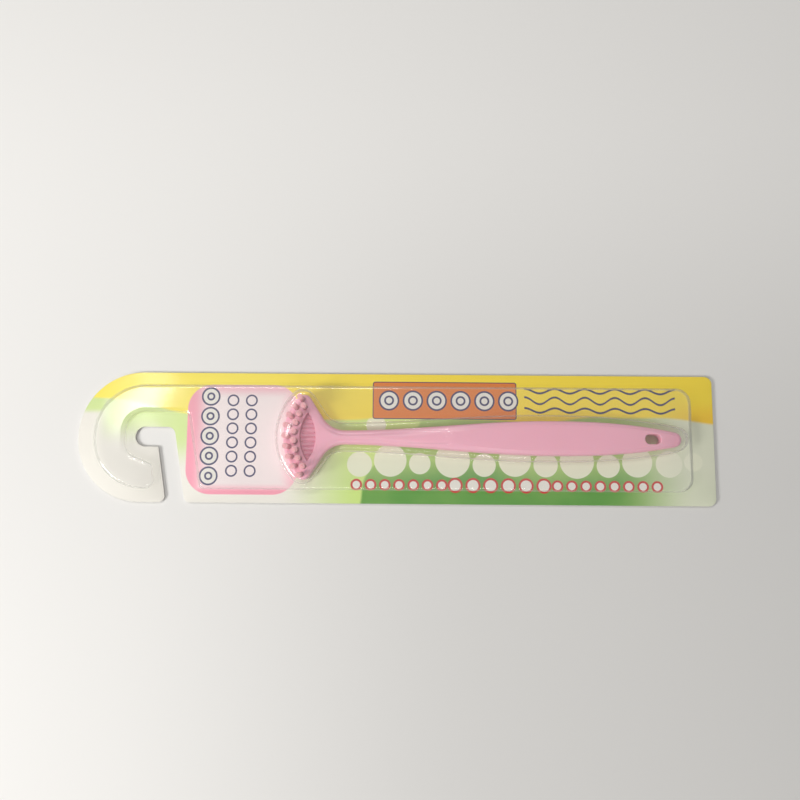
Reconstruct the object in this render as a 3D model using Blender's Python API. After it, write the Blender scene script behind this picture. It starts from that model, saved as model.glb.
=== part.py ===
"""Tongue brush in its retail pack, at real size, in metres.

The pack lies flat: its back is the plane z = 0, its hook end points along -X, the brush's grip along +X,
and the blister faces +Z. The origin is the middle of the card's back. The brush lies on the card, under a
clear formed blister whose flange is sealed round the card's edge and round the slot for the peg.

All lengths are in metres. Names that end in share or shares are parts of a length, not lengths.
"""

import math

import bmesh
import bpy
import numpy as np
from mathutils import Matrix, Vector

# Brush seen from above
BRUSH_LENGTH = 0.1362
HEAD_LENGTH = 0.0210
HEAD_HALF_SPAN = 0.0146
HEAD_ARC_RADIUS = 0.0215
HEAD_TIP_RADIUS = 0.0026
NECK_FILLET_SHARE = 0.772
NECK_HALF_WIDTH = 0.00245
GRIP_HALF_WIDTH = 0.0059
TAIL_HALF_WIDTH = 0.0025
WIDEST_SHARE = 0.62
NARROWING_POWER = 2.5

# Brush seen from the side
HEAD_THICKNESS = 0.0042
NECK_THICKNESS = 0.0046
GRIP_THICKNESS = 0.0060
TAIL_THICKNESS = 0.0040
HEAD_EDGE_RADIUS = 0.0008
NECK_EDGE_RADIUS = 0.0019
GRIP_EDGE_RADIUS = 0.0018
TAIL_EDGE_RADIUS = 0.0013
FACET_SHOULDER_WIDTH = 0.0010
FACET_SHOULDER_DROP = 0.00045
PLAIN_SHOULDER_SHARE = 0.3

# Ribbed recess in the head, and the slot near the tail
LENS_FROM_FRONT = 0.00835
LENS_HALF_WIDTH = 0.00275
LENS_HALF_LENGTH = 0.0083
LENS_DEPTH = 0.0018
RIB_PITCH = 0.00150
RIB_WIDTH = 0.00050
RIB_HEIGHT = 0.00060
TAIL_SLOT_LENGTH = 0.0056
TAIL_SLOT_WIDTH = 0.0034
TAIL_SLOT_FROM_TIP = 0.0100

# Tufts, their holes and their anchors
TUFT_RADIUS = 0.0009
TUFT_ROOT_DEPTH = 0.0026
TUFT_FIT = 0.00008
TUFT_HEIGHT = 0.0050
OUTER_ROW_FROM_EDGE = 0.0017
INNER_ROW_FROM_EDGE = 0.0040
ROW_END_MARGIN = 0.00175
OUTER_ROW_COUNT = 9
OUTER_ROW_LEAN = math.radians(9.0)
INNER_ROW_LEAN = math.radians(2.0)
STRAND_RADIUS = 0.00010
STRAND_PITCH = 0.00025
STRAND_SPLAY_SHARE = 1.16
STRAND_EMBED = 0.0003
FOLD_THICKNESS = 0.0005
ANCHOR_THICKNESS = 0.0002
ANCHOR_WIDTH = 0.0015
ANCHOR_HEIGHT = 0.0012

# Pack: what lies between the pieces
CARD_THICKNESS = 0.00045
SEAT_GAP = 0.0003
BLISTER_WALL = 0.0003
BLISTER_PROUD = 0.0003
CAVITY_FRONT_GAP = 0.0029
CAVITY_SIDE_GAP = 0.0020
CAVITY_NECK_GAP = 0.0032
CAVITY_GRIP_GAP = 0.0028
CAVITY_TAIL_GAP = 0.0024
BRISTLE_HEADROOM = 0.0006
GRIP_HEADROOM = 0.0010
CAVITY_HEAD_SHOULDER = 0.0024
CAVITY_GRIP_SHOULDER = 0.0018
CROWN_SHARE = 0.055

# Pack: raised platform of the blister, and the flange round it
PLATFORM_HEIGHT = 0.0026
PLATFORM_DRAFT = 0.0009
PLATFORM_SIDE_LEDGE = 0.0005
PLATFORM_TAIL_LEDGE = 0.0009
PLATFORM_TAIL_RADIUS = 0.0052
FLANGE_SIDE = 0.0045
FLANGE_HOOK = 0.0058
FLANGE_TAIL = 0.0082
PANEL_LENGTH = 0.0257

# Pack: hook, peg slot and its mouth
HOOK_BAND = 0.01975
SLOT_HEIGHT = 0.0069
LIP_LENGTH = 0.0080
LIP_SLANT = 0.0033
MOUTH_TOP_WIDTH = 0.0053
MOUTH_FOOT_WIDTH = 0.0066
LIP_TOP_RADIUS = 0.0006
LIP_FOOT_RADIUS = 0.0022
MOUTH_TOP_RADIUS = 0.0028
MOUTH_FOOT_RADIUS = 0.0020
CARD_CORNER_RADIUS = 0.0026
SLOT_TOP_LAND = 0.0050
SLOT_FOOT_LAND = 0.0020
SLOT_END_LAND = 0.0030
LIP_SLOT_LAND = 0.0060
LIP_TOP_LAND = 0.0012
LIP_FOOT_LAND = 0.0036
MOUTH_LAND = 0.00515
PLATFORM_MOUTH_RADIUS = 0.0022
PLATFORM_LIP_RADIUS = 0.0030
UPPER_BEND_RADIUS = 0.0068
LOWER_BEND_RADIUS = 0.0050

# Steps of round stretches, and overruns of cutters
ARC_STEP = 0.0018
LEAST_ARC_STEPS, MOST_ARC_STEPS = 3, 12
FULL_ROUND_SHARE = 0.98
FRONT_STEPS, TIP_STEPS, FILLET_STEPS, GRIP_STEPS, TAIL_STEPS = 8, 5, 5, 16, 5
CAP_STEPS = 4
LENS_STEPS = 8
HOLE_SIDES = 12
CUT_OVERRUN = 0.0010
MERGE_DISTANCE = 0.000001

# Wall of the platform from foot to top, and wall of the cavity: (share of draft, share of height)
PLATFORM_WALL_SHARES = ((0, 0), (0.22, 0.12), (0.36, 0.50), (0.50, 0.82), (1, 1))
CAVITY_WALL_SHARES = ((0, 0), (0.12, 0.06), (0.24, 0.32), (0.36, 0.66), (0.58, 0.90), (1, 1))

# Lengths that follow from the driving dimensions
CARD_WIDTH = 2 * (HEAD_HALF_SPAN + CAVITY_SIDE_GAP + PLATFORM_SIDE_LEDGE + PLATFORM_DRAFT + FLANGE_SIDE)
SLOT_END = HOOK_BAND
LIP_TOP = SLOT_END + LIP_LENGTH
LIP_FOOT = LIP_TOP + LIP_SLANT
MOUTH_TOP = LIP_TOP + MOUTH_TOP_WIDTH
MOUTH_FOOT = LIP_FOOT + MOUTH_FOOT_WIDTH
HEAD_FRONT = MOUTH_FOOT + MOUTH_LAND + PANEL_LENGTH + CAVITY_FRONT_GAP
TAIL_TIP = HEAD_FRONT + BRUSH_LENGTH
PLATFORM_TAIL = TAIL_TIP + CAVITY_TAIL_GAP + PLATFORM_TAIL_LEDGE + PLATFORM_DRAFT
CARD_LENGTH = PLATFORM_TAIL + FLANGE_TAIL
HOOK_END_X = -CARD_LENGTH / 2
BRUSH_Z = CARD_THICKNESS + SEAT_GAP
HEAD_TOP_Z = BRUSH_Z + HEAD_THICKNESS
FLANGE_Z = CARD_THICKNESS + SEAT_GAP + BLISTER_WALL
PLATFORM_Z = FLANGE_Z + PLATFORM_HEIGHT


def from_hook_end(distance):
    """The X of a place that lies this far from the hook end of the card."""
    return HOOK_END_X + distance


def clear_scene():
    """Removes what is in the scene."""
    for thing in list(bpy.data.objects):
        bpy.data.objects.remove(thing, do_unlink=True)


def plastic(name, colour, roughness, metallic=0.0, alpha=1.0):
    """A material of one Principled shader."""
    material = bpy.data.materials.new(name)
    material.use_nodes = True
    shader = material.node_tree.nodes["Principled BSDF"]
    shader.inputs["Base Color"].default_value = (*colour, 1.0)
    shader.inputs["Roughness"].default_value = roughness
    shader.inputs["Metallic"].default_value = metallic
    shader.inputs["Alpha"].default_value = alpha
    return material


def new_object(name, bm, material=None):
    """Makes an object of a bmesh, shaded smooth except at sharp edges."""
    mesh = bpy.data.meshes.new(name)
    bm.to_mesh(mesh)
    bm.free()
    mesh.shade_smooth()
    mesh.set_sharp_from_angle(angle=math.radians(35.0))
    thing = bpy.data.objects.new(name, mesh)
    bpy.context.collection.objects.link(thing)
    if material is not None:
        mesh.materials.append(material)
    return thing


def as_cutter(thing):
    """Keeps an object as a cutter that isn't part of the model."""
    thing.hide_render = True
    thing.display_type = "WIRE"
    return thing


def add_boolean(thing, operation, other):
    """Cuts an object with another, or joins the other to it."""
    modifier = thing.modifiers.new(operation.title(), "BOOLEAN")
    modifier.operation = operation
    modifier.object = other


def smooth_step(amount):
    """Rises from 0 to 1 with level ends while amount goes from 0 to 1."""
    amount = np.clip(amount, 0.0, 1.0)
    return amount * amount * (3 - 2 * amount)


def arc(centre, radius, start, end, steps):
    """Points on an arc from angle start to angle end, both ends among them."""
    angles = np.linspace(start, end, steps + 1)
    return np.column_stack((centre[0] + radius * np.cos(angles), centre[1] + radius * np.sin(angles)))


def rounded_outline(corners, inset=0.0):
    """The outline of a polygon with round corners, counter-clockwise, as rows of x and y.

    A corner is (x, y, radius). Each side moves inwards by inset, a corner that juts out loses that much
    radius and one that goes in gains it, so outlines with other insets run alongside, point for point.
    Two fillets that would meet on a side are both made smaller.
    """
    given = np.array(corners)
    places, radii = given[:, :2], given[:, 2]
    along = np.roll(places, -1, axis=0) - places
    along /= np.linalg.norm(along, axis=1)[:, None]
    before = np.roll(along, 1, axis=0)
    turn = np.arctan2(before[:, 0] * along[:, 1] - before[:, 1] * along[:, 0], (before * along).sum(axis=1))
    inward = np.column_stack((-along[:, 1], along[:, 0]))
    bisector = inward + np.roll(inward, 1, axis=0)
    moved = places + inset * bisector / (1 + np.cos(turn))[:, None]
    wanted = np.maximum(radii - inset * np.sign(turn), radii * (1 - FULL_ROUND_SHARE))
    reach = wanted * np.tan(np.abs(turn) / 2)
    side = np.linalg.norm(np.roll(moved, -1, axis=0) - moved, axis=1)
    fits = np.minimum(1.0, FULL_ROUND_SHARE * side / (reach + np.roll(reach, -1)))
    reach = reach * np.minimum(fits, np.roll(fits, 1))
    points = []
    for index in range(len(moved)):
        pieces = round(radii[index] * abs(turn[index]) / ARC_STEP)
        steps = int(np.clip(pieces, LEAST_ARC_STEPS, MOST_ARC_STEPS))
        radius = reach[index] / math.tan(abs(turn[index]) / 2)
        toward = math.copysign(1.0, turn[index])
        normal = toward * np.array((-before[index, 1], before[index, 0]))
        centre = moved[index] - reach[index] * before[index] + radius * normal
        start = math.atan2(-normal[1], -normal[0])
        points.append(arc(centre, radius, start, start + turn[index], steps))
    return np.vstack(points)


def card_corners():
    """Corners of the card: a long board whose hook end is round, with a slot that opens to one side."""
    left, right, half = HOOK_END_X, -HOOK_END_X, CARD_WIDTH / 2
    slot_half = SLOT_HEIGHT / 2
    return (
        (from_hook_end(MOUTH_FOOT), -half, MOUTH_FOOT_RADIUS),
        (right, -half, CARD_CORNER_RADIUS),
        (right, half, CARD_CORNER_RADIUS),
        (left, half, half),
        (left, -half, half),
        (from_hook_end(LIP_FOOT), -half, LIP_FOOT_RADIUS),
        (from_hook_end(LIP_TOP), -slot_half, LIP_TOP_RADIUS),
        (from_hook_end(SLOT_END), -slot_half, slot_half),
        (from_hook_end(SLOT_END), slot_half, slot_half),
        (from_hook_end(MOUTH_TOP), slot_half, MOUTH_TOP_RADIUS),
    )


def platform_corners():
    """Corners of the platform's foot, which leaves a flange all round the card and its slot."""
    left = from_hook_end(FLANGE_HOOK)
    right = from_hook_end(PLATFORM_TAIL)
    half = CARD_WIDTH / 2 - FLANGE_SIDE
    slot_half = SLOT_HEIGHT / 2
    slot_end = from_hook_end(SLOT_END - SLOT_END_LAND)
    return (
        (from_hook_end(MOUTH_FOOT + MOUTH_LAND), -half, MOUTH_FOOT_RADIUS),
        (right, -half, PLATFORM_TAIL_RADIUS),
        (right, half, PLATFORM_TAIL_RADIUS),
        (left, half, half),
        (left, -half, half),
        (from_hook_end(LIP_FOOT - LIP_FOOT_LAND), -half, PLATFORM_LIP_RADIUS),
        (from_hook_end(LIP_TOP - LIP_TOP_LAND), -slot_half - LIP_SLOT_LAND, PLATFORM_LIP_RADIUS),
        (slot_end, -slot_half - SLOT_FOOT_LAND, LOWER_BEND_RADIUS),
        (slot_end, slot_half + SLOT_TOP_LAND, UPPER_BEND_RADIUS),
        (from_hook_end(MOUTH_TOP + MOUTH_LAND), slot_half + SLOT_TOP_LAND, PLATFORM_MOUTH_RADIUS),
    )


def neck_start():
    """How far from the hook end the head's flank has run out into the neck."""
    return HEAD_FRONT + HEAD_LENGTH


def tail_end():
    """How far from the hook end the grip's side touches the round tail, and how steep it is there."""
    run = TAIL_TIP - TAIL_HALF_WIDTH - neck_start()
    slope = NARROWING_POWER * (GRIP_HALF_WIDTH - TAIL_HALF_WIDTH) / ((1 - WIDEST_SHARE) * run)
    return TAIL_TIP - TAIL_HALF_WIDTH * (math.hypot(1, slope) - slope), slope


def grip_shares(distance):
    """How far the neck has swollen to the grip, and how much of the grip is left before the tail.

    The first rises from 0 to 1 with level ends up to the widest place. The second falls from 1 there to
    0 at the tail, slowly at first, as one less a power of the way.
    """
    way = (distance - neck_start()) / (tail_end()[0] - neck_start())
    rise = smooth_step(way / WIDEST_SHARE)
    past = np.clip((way - WIDEST_SHARE) / (1 - WIDEST_SHARE), 0.0, 1.0)
    return rise, 1 - past**NARROWING_POWER


def along_brush(distance, head, neck, grip, tail):
    """A size that runs from its head value through neck and grip to its tail value."""
    rise, left = grip_shares(distance)
    ahead = smooth_step((distance - HEAD_FRONT) / HEAD_LENGTH)
    front = head + (neck - head) * ahead
    return np.where(left < 1, tail + (grip - tail) * left, front + (grip - front) * rise)


def brush_half_contour():
    """One side of the brush from the front of the head to the tail: points, and normals that point out.

    The front is an arc, which runs into a round tip. A straight flank runs from the tip to the fillet at
    the neck, and touches both: the fillet is a share of the widest one that fits beside the tip. The grip
    swells and narrows by grip_shares, and touches the round tail.
    """
    front = from_hook_end(HEAD_FRONT)
    tip_y = HEAD_HALF_SPAN - HEAD_TIP_RADIUS
    reach = HEAD_ARC_RADIUS - HEAD_TIP_RADIUS
    middle = np.array((front + HEAD_ARC_RADIUS, 0.0))
    tip = np.array((middle[0] - math.sqrt(max(reach**2 - tip_y**2, 0.0)), tip_y))
    run, rise = from_hook_end(neck_start()) - tip[0], tip_y - NECK_HALF_WIDTH
    widest = (run**2 + rise**2 - HEAD_TIP_RADIUS**2) / (2 * (rise + HEAD_TIP_RADIUS))
    fillet_radius = widest * NECK_FILLET_SHARE
    fillet = np.array((from_hook_end(neck_start()), NECK_HALF_WIDTH + fillet_radius))
    between = fillet - tip
    lean = math.asin((HEAD_TIP_RADIUS + fillet_radius) / np.linalg.norm(between))
    flank = math.atan2(between[1], between[0]) - lean
    tip_start = math.atan2(tip[1] - middle[1], tip[0] - middle[0])
    quarter = math.pi / 2
    end, slope = tail_end()
    grip = np.linspace(neck_start(), end, GRIP_STEPS + 1)
    half_width = along_brush(grip, NECK_HALF_WIDTH, NECK_HALF_WIDTH, GRIP_HALF_WIDTH, TAIL_HALF_WIDTH)
    tail = (from_hook_end(end - slope * TAIL_HALF_WIDTH), 0.0)
    tail_radius = TAIL_HALF_WIDTH * math.hypot(1, slope)
    points = np.vstack((
        arc(middle, HEAD_ARC_RADIUS, math.pi, tip_start, FRONT_STEPS),
        arc(tip, HEAD_TIP_RADIUS, tip_start, flank + quarter, TIP_STEPS)[1:],
        arc(fillet, fillet_radius, flank - quarter, -quarter, FILLET_STEPS),
        np.column_stack((from_hook_end(grip), half_width))[1:],
        arc(tail, tail_radius, quarter - math.atan(slope), 0.0, TAIL_STEPS)[1:],
    ))
    tangent = np.gradient(points, axis=0)
    tangent[0], tangent[-1] = (0.0, 1.0), (0.0, -1.0)
    tangent /= np.linalg.norm(tangent, axis=1)[:, None]
    points[-1, 1] = 0.0
    points[0, 1] = 0.0
    return points, np.column_stack((-tangent[:, 1], tangent[:, 0]))


def both_sides(half, heights):
    """A closed ring of one side's points with heights and, on the way back, its mirror image."""
    near = np.column_stack((half, heights))
    far = near[-2:0:-1] * (1.0, -1.0, 1.0)
    return np.vstack((near, far))


def add_ring(bm, ring):
    """Adds the points of a ring to a bmesh."""
    return [bm.verts.new(point) for point in ring]


def bridge(bm, first, second):
    """Faces between two rings with the same number of points."""
    for index in range(len(first)):
        after = (index + 1) % len(first)
        bm.faces.new((first[index], first[after], second[after], second[index]))


def close_across(bm, ring):
    """Closes a ring made by both_sides with strips from each point to the point that mirrors it."""
    count = len(ring)
    half = count // 2
    bm.faces.new((ring[0], ring[1], ring[-1]))
    for index in range(1, half - 1):
        bm.faces.new((ring[index], ring[index + 1], ring[count - index - 1], ring[count - index]))
    bm.faces.new((ring[half - 1], ring[half], ring[half + 1]))


def edges_of(bm, ring):
    """The edges round a ring, which are made where they are missing."""
    pairs = zip(ring, ring[1:] + ring[:1])
    return [bm.edges.get(pair) or bm.edges.new(pair) for pair in pairs]


def fill_between(bm, outer, inner):
    """Fills the flat region between an outer ring and a ring inside it."""
    edges = edges_of(bm, outer) + edges_of(bm, inner)
    bmesh.ops.triangle_fill(bm, use_beauty=True, edges=edges, normal=Vector((0, 0, 1)))


def prism(bm, outline, low, high):
    """A closed prism over an outline of rows of x and y."""
    bottom = add_ring(bm, [(x, y, low) for x, y in outline])
    top = add_ring(bm, [(x, y, high) for x, y in outline])
    bridge(bm, bottom, top)
    bm.faces.new(bottom[::-1])
    bm.faces.new(top)


def backing_card(material):
    """The printed board: its outline, one board thick."""
    bm = bmesh.new()
    prism(bm, rounded_outline(card_corners()), 0.0, CARD_THICKNESS)
    return new_object("backing_card", bm, material)


def cavity_gap(distance):
    """How far the foot of the blister's cavity stands off the brush's outline."""
    tip = HEAD_FRONT + HEAD_LENGTH / 3
    places = (HEAD_FRONT, tip, neck_start(), neck_start() + WIDEST_SHARE * BRUSH_LENGTH / 2, TAIL_TIP)
    gaps = (CAVITY_FRONT_GAP, CAVITY_SIDE_GAP, CAVITY_NECK_GAP, CAVITY_GRIP_GAP, CAVITY_TAIL_GAP)
    return np.interp(distance, places, gaps)


def cavity_ribs():
    """The cavity as ribs across the brush: an array of ribs, points along a rib, and x, y, z.

    A rib climbs the wall on one side, crosses under a low crown and comes down the wall on the other side.
    The wall keeps its distance from the brush's outline, and its top follows the bristles and the grip.
    """
    points, normals = brush_half_contour()
    distance = points[:, 0] - HOOK_END_X
    foot = points + normals * cavity_gap(distance)[:, None]
    bristle_top = HEAD_TOP_Z + TUFT_HEIGHT + BRISTLE_HEADROOM + BLISTER_WALL
    grip_top = BRUSH_Z + GRIP_THICKNESS + GRIP_HEADROOM + BLISTER_WALL
    fall = smooth_step((distance - HEAD_FRONT - LENS_FROM_FRONT) / (HEAD_LENGTH - LENS_FROM_FRONT))
    top = bristle_top + (grip_top - bristle_top) * fall
    shoulder = CAVITY_HEAD_SHOULDER + (CAVITY_GRIP_SHOULDER - CAVITY_HEAD_SHOULDER) * fall
    climb = []
    for draft_share, height_share in CAVITY_WALL_SHARES:
        place = foot - normals * (shoulder * draft_share)[:, None]
        climb.append(np.column_stack((place, PLATFORM_Z + (top - PLATFORM_Z) * height_share)))
    edge = climb[-1]
    across = []
    for share in np.linspace(1, -1, CAP_STEPS + 1)[1:-1]:
        crown = CROWN_SHARE * edge[:, 1] * (1 - share**2)
        across.append(np.column_stack((edge[:, 0], edge[:, 1] * share, edge[:, 2] + crown)))
    descent = [side * (1.0, -1.0, 1.0) for side in climb[::-1]]
    return np.stack(climb + across + descent, axis=1)


def add_cavity(bm):
    """Adds the cavity's skin to the blister and returns the ring of its foot."""
    ribs = cavity_ribs()
    ribs[0, :, 1] = 0.0
    ribs[-1, :, 1] = 0.0
    rows = [add_ring(bm, rib) for rib in ribs]
    for near, far in zip(rows, rows[1:]):
        for index in range(len(near) - 1):
            bm.faces.new((near[index], near[index + 1], far[index + 1], far[index]))
    bmesh.ops.remove_doubles(bm, verts=rows[0] + rows[-1], dist=MERGE_DISTANCE)
    near_side = [row[0] for row in rows]
    far_side = [row[-1] for row in rows[-2:0:-1]]
    front = [vert for vert in rows[0] if vert.is_valid and vert.co.z < PLATFORM_Z + MERGE_DISTANCE][0]
    tail = [vert for vert in rows[-1] if vert.is_valid and vert.co.z < PLATFORM_Z + MERGE_DISTANCE][0]
    return [front] + near_side[1:-1] + [tail] + far_side


def blister_shell(material):
    """The clear sheet: flange, platform and cavity as one skin, which gets its wall inwards."""
    bm = bmesh.new()
    cavity_foot = add_cavity(bm)
    rings = []
    for draft_share, height_share in PLATFORM_WALL_SHARES:
        outline = rounded_outline(platform_corners(), PLATFORM_DRAFT * draft_share)
        height = FLANGE_Z + PLATFORM_HEIGHT * height_share
        rings.append(add_ring(bm, [(x, y, height) for x, y in outline]))
    for low, high in zip(rings, rings[1:]):
        bridge(bm, low, high)
    edge = rounded_outline(card_corners(), -BLISTER_PROUD)
    flange = add_ring(bm, [(x, y, FLANGE_Z) for x, y in edge])
    fill_between(bm, flange, rings[0])
    fill_between(bm, rings[-1], cavity_foot)
    bm.normal_update()
    for face in bm.faces:
        if face.normal.z < 0:
            face.normal_flip()
    shell = new_object("blister_shell", bm, material)
    wall = shell.modifiers.new("Wall", "SOLIDIFY")
    wall.thickness = BLISTER_WALL
    wall.offset = -1.0
    wall.use_even_offset = True
    return shell


def brush_rings():
    """Closed rings from the underside of the brush up its round edge to its top, bottom ring first."""
    points, normals = brush_half_contour()
    distance = points[:, 0] - HOOK_END_X
    thickness = along_brush(distance, HEAD_THICKNESS, NECK_THICKNESS, GRIP_THICKNESS, TAIL_THICKNESS)
    radius = along_brush(distance, HEAD_EDGE_RADIUS, NECK_EDGE_RADIUS, GRIP_EDGE_RADIUS, TAIL_EDGE_RADIUS)
    rise, left = grip_shares(distance)
    facet = PLAIN_SHOULDER_SHARE + (1 - PLAIN_SHOULDER_SHARE) * rise * left
    shoulder = FACET_SHOULDER_WIDTH * facet
    side_top = BRUSH_Z + thickness - FACET_SHOULDER_DROP * facet
    nearer = 1 - math.cos(math.pi / 4)
    steps = (
        (radius, np.full(len(distance), BRUSH_Z)),
        (radius * nearer, BRUSH_Z + radius * nearer),
        (radius * 0, BRUSH_Z + radius),
        (radius * 0, side_top - radius),
        (radius * nearer, side_top - radius * nearer),
        (radius, side_top),
        (radius + shoulder, BRUSH_Z + thickness),
    )
    rings = []
    for inset, height in steps:
        half = points - normals * inset[:, None]
        half[0, 1] = 0.0
        half[-1, 1] = 0.0
        rings.append(both_sides(half, height))
    return rings


def lens_middle():
    """The middle of the lens-shaped recess in the head."""
    return from_hook_end(HEAD_FRONT + LENS_FROM_FRONT)


def lens_outline():
    """Two equal arcs that meet in points at the lens's ends, counter-clockwise."""
    radius = (LENS_HALF_LENGTH**2 + LENS_HALF_WIDTH**2) / (2 * LENS_HALF_WIDTH)
    half_angle = math.asin(LENS_HALF_LENGTH / radius)
    middle, offset = lens_middle(), radius - LENS_HALF_WIDTH
    right = arc((middle - offset, 0.0), radius, -half_angle, half_angle, LENS_STEPS)
    left = arc((middle + offset, 0.0), radius, math.pi - half_angle, math.pi + half_angle, LENS_STEPS)
    return np.vstack((right[:-1], left[:-1]))


def tail_slot_outline():
    """A slot with round ends through the grip's tail."""
    middle = from_hook_end(TAIL_TIP - TAIL_SLOT_FROM_TIP)
    half_length, half_width = TAIL_SLOT_LENGTH / 2, TAIL_SLOT_WIDTH / 2
    corners = [
        (middle + x * half_length, y * half_width, half_width)
        for x, y in ((-1, -1), (1, -1), (1, 1), (-1, 1))
    ]
    return rounded_outline(corners)


def tuft_places():
    """The place of each tuft on the head's top, with its rotation: outer row first.

    Both rows are arcs round the middle of the head's front arc. The inner row's tufts stand between the
    outer row's. A tuft leans away from that middle.
    """
    middle = from_hook_end(HEAD_FRONT) + HEAD_ARC_RADIUS
    outer = HEAD_ARC_RADIUS - OUTER_ROW_FROM_EDGE
    inner = HEAD_ARC_RADIUS - INNER_ROW_FROM_EDGE
    reach = math.asin((HEAD_HALF_SPAN - ROW_END_MARGIN) / outer)
    angles = np.linspace(reach, -reach, OUTER_ROW_COUNT)
    halfway = (angles[1:] + angles[:-1]) / 2
    rows = [(outer, angle, OUTER_ROW_LEAN) for angle in angles]
    rows += [(inner, angle, INNER_ROW_LEAN) for angle in halfway]
    places = []
    for radius, angle, lean in rows:
        place = Vector((middle - radius * math.cos(angle), radius * math.sin(angle), HEAD_TOP_Z))
        turn = Matrix.Rotation(math.pi - angle, 4, "Z") @ Matrix.Rotation(lean, 4, "Y")
        places.append((place, turn))
    return places


def brush_cutters():
    """The recess, the tail slot and the tuft holes, as closed bodies that don't touch each other."""
    bm = bmesh.new()
    top = BRUSH_Z + GRIP_THICKNESS + CUT_OVERRUN
    prism(bm, lens_outline(), HEAD_TOP_Z - LENS_DEPTH, top)
    prism(bm, tail_slot_outline(), BRUSH_Z - CUT_OVERRUN, top)
    depth = TUFT_ROOT_DEPTH + TUFT_FIT + CUT_OVERRUN
    for place, turn in tuft_places():
        middle = Matrix.Translation((0.0, 0.0, CUT_OVERRUN - depth / 2))
        radius = TUFT_RADIUS + TUFT_FIT
        bmesh.ops.create_cone(
            bm, cap_ends=True, segments=HOLE_SIDES, radius1=radius, radius2=radius, depth=depth,
            matrix=Matrix.Translation(place) @ turn @ middle,
        )
    return as_cutter(new_object("brush_cutters", bm))


def lens_ribs():
    """Low ribs across the recess's floor, whose ends and undersides reach into the head."""
    bm = bmesh.new()
    radius = (LENS_HALF_LENGTH**2 + LENS_HALF_WIDTH**2) / (2 * LENS_HALF_WIDTH)
    floor = HEAD_TOP_Z - LENS_DEPTH
    reach = LENS_HALF_LENGTH - RIB_PITCH
    count = int(reach // RIB_PITCH)
    for number in range(-count, count + 1):
        y = number * RIB_PITCH
        half = math.sqrt(radius**2 - y**2) - radius + LENS_HALF_WIDTH + RIB_WIDTH / 2
        middle = lens_middle()
        outline = [
            (middle + side_x * half, y + side_y * RIB_WIDTH / 2)
            for side_x, side_y in ((-1, -1), (1, -1), (1, 1), (-1, 1))
        ]
        prism(bm, outline, floor - RIB_HEIGHT / 2, floor + RIB_HEIGHT)
    return as_cutter(new_object("lens_ribs", bm))


def brush_handle(material):
    """The pink moulding: head plate, neck and grip in one, with its recess, slot and holes."""
    bm = bmesh.new()
    rings = [add_ring(bm, ring) for ring in brush_rings()]
    for low, high in zip(rings, rings[1:]):
        bridge(bm, low, high)
    close_across(bm, rings[0])
    close_across(bm, rings[-1])
    bmesh.ops.recalc_face_normals(bm, faces=bm.faces)
    handle = new_object("brush_handle", bm, material)
    add_boolean(handle, "DIFFERENCE", brush_cutters())
    add_boolean(handle, "UNION", lens_ribs())
    return handle


def strand_places():
    """Where strands stand in a tuft: a grid of triangles, left out along the slit and past the rim."""
    slit_half = ANCHOR_THICKNESS / 2 + TUFT_FIT
    nearest = slit_half + 1.5 * STRAND_RADIUS
    farthest = TUFT_RADIUS - 1.2 * STRAND_RADIUS
    row_pitch = STRAND_PITCH * math.sqrt(3) / 2
    rows = int((farthest - nearest) // row_pitch) + 1
    columns = int(farthest // STRAND_PITCH) + 1
    places = []
    for row in range(rows):
        shift = STRAND_PITCH / 2 if row % 2 else 0.0
        for column in range(-columns, columns + 1):
            x, y = column * STRAND_PITCH + shift, nearest + row * row_pitch
            if math.hypot(x, y) <= farthest:
                places += [(x, y), (-x, -y)]
    return places


def add_strand(bm, place, spin):
    """A strand of three sides that leans outwards as much as it stands off the tuft's middle."""
    angles = [spin + turn * 2 * math.pi / 3 for turn in range(3)]
    section = [(STRAND_RADIUS * math.cos(angle), STRAND_RADIUS * math.sin(angle)) for angle in angles]
    bottom = add_ring(bm, [(place[0] + x, place[1] + y, -STRAND_EMBED) for x, y in section])
    spread = [coordinate * STRAND_SPLAY_SHARE for coordinate in place]
    top = add_ring(bm, [(spread[0] + x, spread[1] + y, TUFT_HEIGHT) for x, y in section])
    bridge(bm, bottom, top)
    bm.faces.new(bottom[::-1])
    bm.faces.new(top)


def tuft_mesh(material):
    """One tuft: strands fused to the fold that fills the hole, with a slit for the anchor.

    Its origin is where its axis leaves the head's top, and it stands along +Z.
    """
    bm = bmesh.new()
    middle = Matrix.Translation((0.0, 0.0, -TUFT_ROOT_DEPTH / 2))
    bmesh.ops.create_cone(
        bm, cap_ends=True, segments=HOLE_SIDES, radius1=TUFT_RADIUS, radius2=TUFT_RADIUS,
        depth=TUFT_ROOT_DEPTH, matrix=middle,
    )
    fold = new_object("tuft_fold", bm, material)
    bm = bmesh.new()
    reach, slit_half = TUFT_RADIUS + CUT_OVERRUN, ANCHOR_THICKNESS / 2 + TUFT_FIT
    outline = [(x * reach, y * slit_half) for x, y in ((-1, -1), (1, -1), (1, 1), (-1, 1))]
    prism(bm, outline, FOLD_THICKNESS - TUFT_ROOT_DEPTH, CUT_OVERRUN)
    slit = new_object("tuft_slit", bm)
    bm = bmesh.new()
    for number, place in enumerate(strand_places()):
        add_strand(bm, place, number * math.pi / 2)
    strands = new_object("tuft_strands", bm)
    add_boolean(fold, "DIFFERENCE", slit)
    add_boolean(fold, "UNION", strands)
    evaluated = fold.evaluated_get(bpy.context.evaluated_depsgraph_get())
    mesh = bpy.data.meshes.new_from_object(evaluated)
    mesh.name = "tuft"
    for helper in (fold, slit, strands):
        bpy.data.objects.remove(helper, do_unlink=True)
    return mesh


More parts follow.
